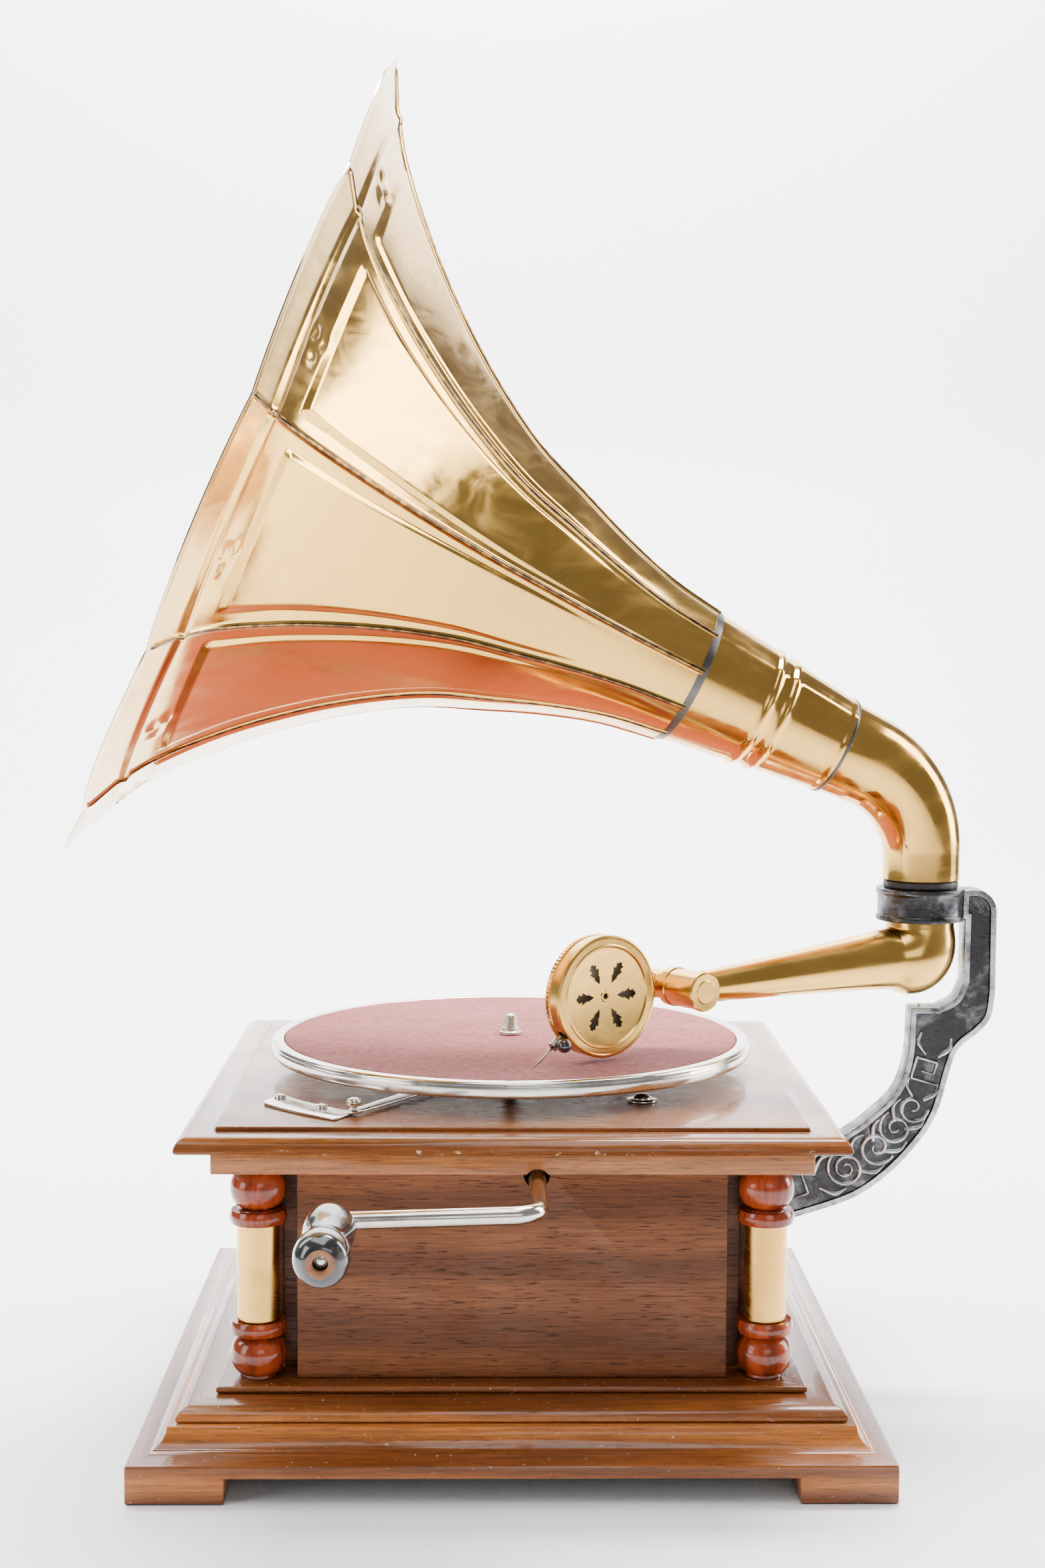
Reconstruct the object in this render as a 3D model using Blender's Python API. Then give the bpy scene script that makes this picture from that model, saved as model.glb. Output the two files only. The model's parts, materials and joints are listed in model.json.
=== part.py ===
"""A wind-up phonograph with an outside horn: wooden case on a plinth, spring motor, turntable, tonearm,
soundbox, cast bracket and an eleven-petal brass horn.

Everything is modelled from the centre of the plinth's footprint, with the floor at height 0, the crank at
-Y and the bracket at +X. The last step moves the whole model so that the origin lies under the middle of
its bounding box. All sizes are in metres."""

import math

import bmesh
import bpy
from mathutils import Matrix, Vector

GAP = 0.0003  # between pieces that rest on or in each other

# Plinth
PLINTH_WIDTH = 0.356
FOOT_WIDTH = 0.0455
FOOT_HEIGHT = 0.012
PLINTH_FACE_TOP = 0.018
COVE_DEPTH = 0.017
COVE_TOP = 0.0305
MOULDING_STEP = 0.0035
MOULDING_FACE = 0.0014
MOULDING_ROUND = 0.013
MOULDING_TOP = 0.0386
BOTTOM_BOARD_INSET = 0.004
BOTTOM_BOARD_TOP = 0.042

# Case
CASE_HEIGHT = 0.1026
CARCASS_WALL = 0.012
FRONT_PANEL_INSET = 0.012  # of its face from the bottom board's edge
SIDE_PANEL_INSET = 0.007
PANEL_CLEARANCE = 0.0052  # between a panel and the columns
PANEL_EDGE_ROUND = 0.0008
CORNICE_OVERHANG = 0.002  # past the bottom board
CORNICE_THICKNESS = 0.013
LID_OVERHANG = 0.0155  # past the cornice
LID_FRAME_WIDTH = 0.0175
LID_THICKNESS = 0.0076
LID_ROUND = 0.0065
BOARD_THICKNESS = 0.0094

# Corner columns
COLUMN_INSET = 0.0185  # of the column's axis from the bottom board's edge
COLUMN_BALL_RADIUS = 0.01335
COLUMN_BALL_HEIGHT = 0.0209
COLUMN_COLLAR_RADIUS = 0.0138
COLUMN_COLLAR_HEIGHT = 0.0064
COLUMN_CORE_RADIUS = 0.0085
COLUMN_CLEARANCE = 0.00246  # from the carcass's corner
SLEEVE_WALL = 0.0014

# Turntable
PLATTER_RADIUS = 0.127
PLATTER_RIM_WIDTH = 0.0068
PLATTER_RIM_HEIGHT = 0.008
PLATTER_SHEET = 0.0015
PLATTER_LIFT = 0.0102  # of the rim's lower edge above the motor board
FELT_THICKNESS = 0.0022
SPINDLE_RADIUS = 0.0034
SPINDLE_ABOVE_FELT = 0.011

# Spring motor, hung from the motor board
MOTOR_DROP = 0.0066  # of the top plate's upper face below the board
MOTOR_PLATE = 0.002
MOTOR_HEIGHT = 0.067  # between the plates
MOTOR_TOP_PLATE_X = (-0.096, 0.076)
MOTOR_TOP_PLATE_Y = (-0.0915, 0.0915)
MOTOR_BOTTOM_PLATE_X = (-0.070, 0.082)
MOTOR_BOTTOM_PLATE_Y = (-0.0915, 0.080)
MOTOR_POSTS = ((-0.062, -0.082), (0.068, -0.058), (0.068, 0.074), (-0.062, 0.072))
MOTOR_POST_RADIUS = 0.003
MOTOR_BOLTS = ((0.0645, -0.0835), (0.0645, 0.0875), (-0.0885, 0.0))
MOTOR_BOLT_RADIUS = 0.0022
MOTOR_WASHER_RADIUS = 0.0075
BARREL_PLACE = (0.0115, -0.054)
BARREL_RADIUS = 0.029
BARREL_HEIGHT = 0.0305
BARREL_WALL = 0.001
ARBOR_RADIUS = 0.004
CROWN_TEETH = 24
CROWN_RADIUS = 0.022
WINDING_TEETH = 7
BARREL_TEETH = 44
TRANSFER_PINION_TEETH = 10
BARREL_MODULE = 0.00178
TRANSFER_TEETH = 36
SPINDLE_TEETH = 10
TRANSFER_MODULE = 0.00133
WORM_WHEEL_TEETH = 30
WORM_WHEEL_RADIUS = 0.0235
WORM_RADIUS = 0.0042
WORM_STARTS = 2
GOVERNOR_HEIGHT = 0.112
GOVERNOR_X = (-0.026, 0.0755)
GOVERNOR_RADIUS = 0.0155
GOVERNOR_DISC_RADIUS = 0.014
SPEED_PIVOT = (0.074, 0.058)

# Crank
CRANK_X = 0.0115
CRANK_DROP = 0.0036  # of its axis below the cornice's lower face
CRANK_CLEARANCE = 0.0022  # of the rod in its bore
CRANK_ROD_RADIUS = 0.0041
CRANK_REACH = 0.0565  # of the arm in front of the cornice
CRANK_ARM = 0.093
CRANK_DIP = math.radians(1.8)
CRANK_BEND = 0.012
HANDLE_LENGTH = 0.067
HANDLE_RADIUS = 0.0124
HANDLE_PIN_RADIUS = 0.0030

# Brake
BRAKE_ANGLE = math.radians(237.2)
BRAKE_PIVOT_RADIUS = 0.0552
BRAKE_KNOB_OUTSIDE = 0.014  # of the knob past the turntable's rim
BRAKE_PLATE_OUTSIDE = 0.0095
BRAKE_PLATE_WIDTH = 0.0175
BRAKE_PLATE_ANGLES = (math.radians(214.0), math.radians(236.5))
BRAKE_SHEET = 0.0012
NEEDLE_CUP_PLACE = (-0.117, 0.103)
NEEDLE_CUP_RADIUS = 0.0095

# Bracket and pivot
BRACKET_REACH = 0.085  # of the pivot from the side panel's face
BRACKET_THICKNESS = 0.016
RING_LIFT = 0.0808  # above the motor board
RING_HEIGHT = 0.017
RING_CLEARANCE = 0.0008
RING_WALL = 0.0046
LUG_DROP = 0.0021  # below the tonearm's heel
PIVOT_SCREW_RADIUS = 0.0017
GASKET_HEIGHT = 0.0045
GASKET_INSET = 0.0008
GASKET_STEP = 0.0015  # of its bore inside the tonearm's top

# Tonearm and soundbox
TUBE_WALL = 0.0008
TONEARM_TOP_RADIUS = 0.018
TONEARM_BEND_RADIUS = 0.0205
TONEARM_HEEL_RADIUS = 0.0163
TONEARM_TIP_RADIUS = 0.0076
TONEARM_TURN = math.radians(22.1)  # from -X towards -Y
TONEARM_LENGTH = 0.1383  # from the pivot to the crossbar's axis
TONEARM_HINGE_DROP = 0.0035  # below the bracket's ring
HEAD_TURN = math.radians(35.5)
CROSSBAR_WALL = 0.0025  # beyond the tonearm's tip
CROSSBAR_LENGTH = 0.027
GOOSENECK_RADIUS = 0.0074
GOOSENECK_THROAT = 0.0011
SOUNDBOX_RADIUS = 0.0308
SOUNDBOX_CLEARANCE = 0.008  # from the crossbar
SOUNDBOX_LIFT = 0.0023  # above the felt
SOUNDBOX_DEPTH = 0.0122
SOUNDBOX_FACE = -0.0048  # from the crossbar's middle, along its axis
SOUNDBOX_WALL = 0.0022
COVER_DEPTH = 0.0018
COVER_DISH_RADIUS = 0.0245
COVER_SLOTS = 6
DIAPHRAGM_THICKNESS = 0.0004
NEEDLE_DIP = math.radians(37)
NEEDLE_CLEARANCE = 0.0006  # of the point above the felt
HOLDER_RADIUS = 0.0026
NEEDLE_RADIUS = 0.0006

# Horn
HORN_RISE = math.radians(25)
HORN_TURN = math.radians(7.5)
ELBOW_FOOT_RADIUS = 0.0205
ELBOW_FOOT_HEIGHT = 0.014
ELBOW_BEND = 0.0548
ELBOW_HEAD_LENGTH = 0.0187
NECK_RADIUS = 0.0257
NECK_LENGTH = 0.0886
BELL_RADIUS = 0.0365
PETALS = 11
PETAL_START = math.radians(21.8)
BELL_SHEET = 0.0008
# Distance from the bell's small end along the axis, and how far the ribs have flared out there
BELL_FLARE = ((0.0, 0.0), (0.031, 0.0050), (0.062, 0.0143), (0.092, 0.0257), (0.122, 0.0375),
              (0.152, 0.0553), (0.182, 0.0777), (0.212, 0.1050), (0.240, 0.1370), (0.2575, 0.1719))
PETAL_SCALLOP = 0.0131  # of a petal's rim past its ribs, away from the axis
PETAL_REACH = 0.0021  # and along the axis
RIM_TILT = 0.0085  # of the rim's top ahead of its middle

PLINTH_HALF = PLINTH_WIDTH / 2
COVE_HALF = PLINTH_HALF - COVE_DEPTH
MOULDING_HALF = COVE_HALF - MOULDING_STEP
BOTTOM_BOARD_HALF = MOULDING_HALF - MOULDING_ROUND - BOTTOM_BOARD_INSET
CASE_TOP = BOTTOM_BOARD_TOP + CASE_HEIGHT
LID_BOTTOM = CASE_TOP + CORNICE_THICKNESS
BOARD_TOP = LID_BOTTOM + BOARD_THICKNESS
COLUMN_PLACE = BOTTOM_BOARD_HALF - COLUMN_INSET
COLUMN_RADIUS = max(COLUMN_BALL_RADIUS, COLUMN_COLLAR_RADIUS)
CARCASS_HALF = COLUMN_PLACE - (COLUMN_RADIUS + COLUMN_CLEARANCE) / math.sqrt(2)
CAVITY_HALF = CARCASS_HALF - CARCASS_WALL
PANEL_HALF_WIDTH = COLUMN_PLACE - COLUMN_RADIUS - PANEL_CLEARANCE
FRONT_PANEL_FACE = BOTTOM_BOARD_HALF - FRONT_PANEL_INSET
SIDE_PANEL_FACE = BOTTOM_BOARD_HALF - SIDE_PANEL_INSET
CORNICE_HALF = BOTTOM_BOARD_HALF + CORNICE_OVERHANG
LID_HALF = CORNICE_HALF + LID_OVERHANG
BOARD_HALF = LID_HALF - LID_FRAME_WIDTH
SLEEVE_RADIUS = COLUMN_CORE_RADIUS + GAP + SLEEVE_WALL
CRANK_BORE_RADIUS = CRANK_ROD_RADIUS + CRANK_CLEARANCE
BRAKE_KNOB_REACH = PLATTER_RADIUS + BRAKE_KNOB_OUTSIDE - BRAKE_PIVOT_RADIUS
BRAKE_PLATE_RADII = (PLATTER_RADIUS + BRAKE_PLATE_OUTSIDE,
                     PLATTER_RADIUS + BRAKE_PLATE_OUTSIDE + BRAKE_PLATE_WIDTH)
CRANK_HEIGHT = CASE_TOP - CRANK_DROP
CRANK_PLANE = -(CORNICE_HALF + CRANK_REACH)
RIM_BOTTOM = BOARD_TOP + PLATTER_LIFT
RIM_TOP = RIM_BOTTOM + PLATTER_RIM_HEIGHT
FELT_TOP = RIM_TOP
FELT_BOTTOM = FELT_TOP - FELT_THICKNESS
PLATTER_TOP = FELT_BOTTOM - GAP
SEAT_RADIUS = PLATTER_RADIUS - PLATTER_RIM_WIDTH
TOP_PLATE_TOP = LID_BOTTOM - MOTOR_DROP
TOP_PLATE_BOTTOM = TOP_PLATE_TOP - MOTOR_PLATE
BOTTOM_PLATE_TOP = TOP_PLATE_BOTTOM - MOTOR_HEIGHT
BOTTOM_PLATE_BOTTOM = BOTTOM_PLATE_TOP - MOTOR_PLATE
PIVOT_X = SIDE_PANEL_FACE + BRACKET_REACH
RING_BOTTOM = BOARD_TOP + RING_LIFT
RING_TOP = RING_BOTTOM + RING_HEIGHT
RING_BORE = TONEARM_TOP_RADIUS + RING_CLEARANCE
RING_RADIUS = RING_BORE + RING_WALL
TONEARM_HINGE_HEIGHT = RING_BOTTOM - TONEARM_HINGE_DROP
TONEARM_TIP_HEIGHT = FELT_TOP + SOUNDBOX_RADIUS + SOUNDBOX_LIFT
LUG_TOP = TONEARM_HINGE_HEIGHT - 2 * TONEARM_BEND_RADIUS - LUG_DROP
GASKET_RADIUS = ELBOW_FOOT_RADIUS - GASKET_INSET
GASKET_BORE = TONEARM_TOP_RADIUS - GASKET_STEP
CROSSBAR_RADIUS = TONEARM_TIP_RADIUS + CROSSBAR_WALL
GOOSENECK_BEND = GOOSENECK_RADIUS + GOOSENECK_THROAT
SOUNDBOX_OFFSET = SOUNDBOX_RADIUS + CROSSBAR_RADIUS + SOUNDBOX_CLEARANCE
BELL_PROFILE = [(along, BELL_RADIUS + flare) for along, flare in BELL_FLARE]
UP = Vector((0, 0, 1))


# ---------------------------------------------------------------- tools

def material(name, colour, roughness, metallic=0.0):
    """A Principled material of one colour."""
    made = bpy.data.materials.new(name)
    made.use_nodes = True
    shader = made.node_tree.nodes["Principled BSDF"]
    shader.inputs["Base Color"].default_value = (*colour, 1)
    shader.inputs["Roughness"].default_value = roughness
    shader.inputs["Metallic"].default_value = metallic
    made.diffuse_color = (*colour, 1)
    return made


def piece(name, bm, finish, joint, smooth=35):
    """Makes a bmesh in the model's frame an object that hangs from its joint's empty."""
    bmesh.ops.remove_doubles(bm, verts=bm.verts, dist=1e-6)
    bmesh.ops.recalc_face_normals(bm, faces=bm.faces)
    mesh = bpy.data.meshes.new(name)
    bm.to_mesh(mesh)
    bm.free()
    mesh.shade_smooth()
    mesh.set_sharp_from_angle(angle=math.radians(smooth))
    obj = bpy.data.objects.new(name, mesh)
    bpy.context.scene.collection.objects.link(obj)
    if finish:
        mesh.materials.append(finish)
    if joint:
        obj.parent = joint
        obj.location = -Vector(joint["place"])
    return obj


def joint_empty(name, place, parent=None):
    """An empty at a joint, which keeps its own place in the model's frame."""
    empty = bpy.data.objects.new(name, None)
    bpy.context.scene.collection.objects.link(empty)
    empty["place"] = list(place)
    empty.location = Vector(place)
    if parent:
        empty.parent = parent
        empty.location -= Vector(parent["place"])
    return empty


def change(obj, tool, operation="DIFFERENCE"):
    """Cuts the object with a hidden tool, or joins the tool to it."""
    tool.hide_render = True
    tool.display_type = "WIRE"
    modifier = obj.modifiers.new(tool.name, "BOOLEAN")
    modifier.operation = operation
    modifier.object = tool
    return obj


def box(low, high, bevel=0.0):
    """A box between two corners, its edges rounded."""
    bm = bmesh.new()
    bmesh.ops.create_cube(bm, size=1)
    size = [b - a for a, b in zip(low, high)]
    middle = [(a + b) / 2 for a, b in zip(low, high)]
    bmesh.ops.scale(bm, vec=size, verts=bm.verts)
    bmesh.ops.translate(bm, vec=middle, verts=bm.verts)
    if bevel:
        bmesh.ops.bevel(bm, geom=bm.edges, offset=bevel, segments=1, profile=0.5, affect="EDGES")
    return bm


def turned(profile, steps=32, hollow=False, place=(0, 0, 0), axis=UP):
    """A turned solid from (radius, height) points. A hollow one has a closed profile."""
    bm = bmesh.new()
    verts = [bm.verts.new((radius, 0, height)) for radius, height in profile]
    edges = [bm.edges.new(pair) for pair in zip(verts, verts[1:])]
    if hollow:
        edges.append(bm.edges.new((verts[-1], verts[0])))
    bmesh.ops.spin(bm, geom=verts + edges, axis=(0, 0, 1), cent=(0, 0, 0), angle=math.tau,
                   steps=steps, use_merge=True)
    bmesh.ops.remove_doubles(bm, verts=bm.verts, dist=1e-7)
    turn = UP.rotation_difference(Vector(axis)).to_matrix().to_4x4()
    bmesh.ops.transform(bm, matrix=Matrix.Translation(place) @ turn, verts=bm.verts)
    return bm


def rod(radius, low, high, steps=16, place=(0, 0, 0), axis=UP):
    return turned([(0, low), (radius, low), (radius, high), (0, high)], steps, False, place, axis)


def pipe(outer, inner, low, high, steps=24, place=(0, 0, 0), axis=UP):
    return turned([(inner, low), (outer, low), (outer, high), (inner, high)], steps, True, place, axis)


def skin(rings, closed=False):
    """Faces between rings of equal count. Open skins are capped, closed ones run back to their start."""
    bm = bmesh.new()
    loops = [[bm.verts.new(point) for point in ring] for ring in rings]
    pairs = list(zip(loops, loops[1:]))
    if closed:
        pairs.append((loops[-1], loops[0]))
    else:
        bm.faces.new(loops[0])
        bm.faces.new(loops[-1])
    for one, other in pairs:
        for index in range(len(one)):
            after = (index + 1) % len(one)
            bm.faces.new((one[index], one[after], other[after], other[index]))
    return bm


def squares(profile, closed=False):
    """Square rings from (half width, height) points, for boards and mouldings."""
    rings = []
    for half, height in profile:
        rings.append([(x * half, y * half, height) for x, y in ((-1, -1), (1, -1), (1, 1), (-1, 1))])
    return skin(rings, closed)


def slab(outline, low, high, frame=Matrix.Identity(4)):
    """A flat plate from an outline of (x, y) points."""
    rings = [[frame @ Vector((x, y, height)) for x, y in outline] for height in (low, high)]
    return skin(rings)


def arc(centre, radius, start, end, steps):
    """Points on an arc, ends included."""
    points = []
    for index in range(steps + 1):
        angle = start + (end - start) * index / steps
        points.append((centre[0] + radius * math.cos(angle), centre[1] + radius * math.sin(angle)))
    return points


def smoothed(points, steps):
    """Points on a smooth curve through the given ones."""
    ends = [2 * Vector(points[0]) - Vector(points[1])]
    ends += [Vector(point) for point in points]
    ends.append(2 * Vector(points[-1]) - Vector(points[-2]))
    curve = []
    for a, b, c, d in zip(ends, ends[1:], ends[2:], ends[3:]):
        for index in range(steps):
            t = index / steps
            curve.append(0.5 * (2 * b + (c - a) * t + (2 * a - 5 * b + 4 * c - d) * t ** 2
                                + (3 * b - a - 3 * c + d) * t ** 3))
    return curve + [ends[-2]]


def circle_ring(centre, normal, side, radius, steps):
    """A ring of points about a normal, starting at the side direction."""
    other = normal.cross(side).normalized()
    start = other.cross(normal).normalized()
    ring = []
    for index in range(steps):
        angle = math.tau * index / steps
        ring.append(centre + radius * (math.cos(angle) * start + math.sin(angle) * other))
    return ring


def duct(stations, side, wall, steps=24):
    """A round tube through (centre, normal, radius) stations, solid when it has no wall."""
    outer = [circle_ring(centre, normal, side, radius, steps) for centre, normal, radius in stations]
    if not wall:
        return skin(outer)
    inner = [circle_ring(centre, normal, side, radius - wall, steps) for centre, normal, radius in stations]
    return skin(outer + inner[::-1], closed=True)


def gear_outline(teeth, module, phase=0.0, place=(0, 0)):
    """Straight-sided teeth about the pitch circle, the first one at the phase angle."""
    pitch_radius = module * teeth / 2
    points = []
    for index in range(teeth):
        middle = phase + math.tau * index / teeth
        for share, height in ((-0.26, -1.0), (-0.13, 0.6), (0.13, 0.6), (0.26, -1.0)):
            angle = middle + share * math.tau / teeth
            radius = pitch_radius + height * module
            points.append((place[0] + radius * math.cos(angle), place[1] + radius * math.sin(angle)))
    return points


def joined(first, *others):
    """Adds hidden tools to an object as one solid."""
    for index, other in enumerate(others):
        change(first, piece(f"{first.name}_part{index}", other, None, first.parent), "UNION")
    return first


def cut(first, *others):
    """Cuts an object with hidden tools."""
    for index, other in enumerate(others):
        change(first, piece(f"{first.name}_cut{index}", other, None, first.parent))
    return first


# ---------------------------------------------------------------- case

def make_plinth(wood, base):
    cove = []
    for height, inset in ((0.25, 0.62), (0.5, 0.87), (0.75, 0.97), (1.0, 1.0)):
        cove.append((PLINTH_HALF - COVE_DEPTH * inset, PLINTH_FACE_TOP + (COVE_TOP - PLINTH_FACE_TOP) * height))
    profile = [(PLINTH_HALF, 0), (PLINTH_HALF, PLINTH_FACE_TOP)] + cove
    plinth = piece("plinth", squares(profile), wood, base)
    between = PLINTH_HALF - FOOT_WIDTH
    past = PLINTH_HALF + 0.01
    cut(plinth, box((-past, -between, -0.01), (past, between, FOOT_HEIGHT)),
        box((-between, -past, -0.01), (between, past, FOOT_HEIGHT)))

    foot = COVE_TOP + GAP
    rise = MOULDING_TOP - foot - MOULDING_FACE
    rounded = []
    for index in range(5):
        angle = math.pi / 2 * index / 4
        rounded.append((MOULDING_HALF - MOULDING_ROUND * (1 - math.cos(angle)),
                        foot + MOULDING_FACE + rise * math.sin(angle)))
    piece("plinth_moulding", squares([(MOULDING_HALF, foot)] + rounded), wood, base)

    low = MOULDING_TOP + GAP
    edge = (BOTTOM_BOARD_TOP - low) / 2
    piece("bottom_board", squares([(BOTTOM_BOARD_HALF, low), (BOTTOM_BOARD_HALF, low + edge),
                                   (BOTTOM_BOARD_HALF - edge, BOTTOM_BOARD_TOP)]), wood, base)


def crank_bore():
    """The tool that clears the crank's rod through the front of the case."""
    return rod(CRANK_BORE_RADIUS, CAVITY_HALF - 0.01, CORNICE_HALF + 0.01, 24,
               (CRANK_X, 0, CRANK_HEIGHT), (0, -1, 0))


def make_case(wood, panel_wood, base):
    low = BOTTOM_BOARD_TOP + GAP
    high = CASE_TOP - GAP
    walls = squares([(CAVITY_HALF, low), (CARCASS_HALF, low), (CARCASS_HALF, high), (CAVITY_HALF, high)], True)
    cut(piece("carcass", walls, wood, base), crank_bore())

    inner = CARCASS_HALF + GAP
    half = PANEL_HALF_WIDTH
    front = box((-half, -FRONT_PANEL_FACE, low), (half, -inner, high), PANEL_EDGE_ROUND)
    cut(piece("front_panel", front, panel_wood, base), crank_bore())
    piece("rear_panel", box((-half, inner, low), (half, FRONT_PANEL_FACE, high), PANEL_EDGE_ROUND),
          panel_wood, base)
    piece("left_panel", box((-SIDE_PANEL_FACE, -half, low), (-inner, half, high), PANEL_EDGE_ROUND),
          panel_wood, base)
    piece("right_panel", box((inner, -half, low), (SIDE_PANEL_FACE, half, high), PANEL_EDGE_ROUND),
          panel_wood, base)

    top = LID_BOTTOM - GAP
    cornice = squares([(CAVITY_HALF, CASE_TOP), (CORNICE_HALF, CASE_TOP), (CORNICE_HALF, top),
                       (CAVITY_HALF, top)], True)
    cut(piece("cornice", cornice, wood, base), crank_bore())

    lid_top = LID_BOTTOM + LID_THICKNESS
    rounded = []
    for index in range(5):
        angle = math.pi / 2 * index / 4
        rounded.append((LID_HALF - LID_ROUND * (1 - math.cos(angle)),
                        LID_BOTTOM + 0.0012 + (LID_THICKNESS - 0.0012) * math.sin(angle)))
    frame = [(BOARD_HALF, LID_BOTTOM), (LID_HALF - 0.0008, LID_BOTTOM)] + rounded + [(BOARD_HALF, lid_top)]
    piece("lid_frame", squares(frame, True), wood, base)

    half = BOARD_HALF - GAP
    board = piece("motor_board", squares([(half, LID_BOTTOM), (half, BOARD_TOP - 0.0006),
                                          (half - 0.0006, BOARD_TOP)]), wood, base)
    holes = [rod(SPINDLE_RADIUS + 0.0025, LID_BOTTOM - 0.01, BOARD_TOP + 0.01, 20)]
    for x, y in MOTOR_BOLTS:
        holes.append(rod(MOTOR_BOLT_RADIUS + GAP, LID_BOTTOM - 0.01, BOARD_TOP + 0.01, 12, (x, y, 0)))
    cut(board, *holes)


def make_columns(stained, brass, base):
    ball = COLUMN_BALL_HEIGHT
    collar = COLUMN_COLLAR_HEIGHT
    height = CASE_HEIGHT - 2 * GAP
    lower = [(0, 0), (0.68, 0), (0.97, 0.25), (0.99, 0.65), (0.72, 0.97)]
    end = [(COLUMN_BALL_RADIUS * radius, ball * share) for radius, share in lower]
    end += [(COLUMN_COLLAR_RADIUS * 0.95, ball), (COLUMN_COLLAR_RADIUS, ball + collar / 2),
            (COLUMN_COLLAR_RADIUS * 0.95, ball + collar), (COLUMN_CORE_RADIUS, ball + collar)]
    profile = end + [(radius, height - along) for radius, along in end[::-1]]
    sleeve_low = ball + collar + GAP
    corners = {"front_left": (-1, -1), "front_right": (1, -1), "rear_left": (-1, 1), "rear_right": (1, 1)}
    for name, (x, y) in corners.items():
        place = (x * COLUMN_PLACE, y * COLUMN_PLACE, BOTTOM_BOARD_TOP + GAP)
        piece(f"column_{name}", turned(profile, 12, False, place), stained, base)
        sleeve = pipe(SLEEVE_RADIUS, COLUMN_CORE_RADIUS + GAP, sleeve_low, height - sleeve_low, 16, place)
        piece(f"column_sleeve_{name}", sleeve, brass, base)


# ---------------------------------------------------------------- turntable

def make_platter(nickel, felt_cloth, joint):
    bore = SPINDLE_RADIUS + GAP
    floor = PLATTER_TOP - PLATTER_SHEET
    edge = 0.0014
    profile = [(bore, floor), (PLATTER_RADIUS - 0.006, floor), (PLATTER_RADIUS - 0.0035, RIM_BOTTOM),
               (PLATTER_RADIUS - edge, RIM_BOTTOM), (PLATTER_RADIUS, RIM_BOTTOM + edge),
               (PLATTER_RADIUS, RIM_TOP - edge), (PLATTER_RADIUS - edge, RIM_TOP),
               (SEAT_RADIUS, RIM_TOP), (SEAT_RADIUS, PLATTER_TOP), (bore, PLATTER_TOP)]
    piece("platter", turned(profile, 40, True), nickel, joint)
    piece("platter_felt", pipe(SEAT_RADIUS - GAP, bore, FELT_BOTTOM, FELT_TOP, 40), felt_cloth, joint)


def circle_crossing(one, one_radius, other, other_radius):
    """The point at set distances from two centres, on the -X side."""
    start = Vector(one)
    span = Vector(other) - start
    along = (one_radius ** 2 - other_radius ** 2 + span.length ** 2) / (2 * span.length)
    aside = math.sqrt(one_radius ** 2 - along ** 2)
    way = span.normalized()
    return start + along * way + aside * Vector((way.y, -way.x))


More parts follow.
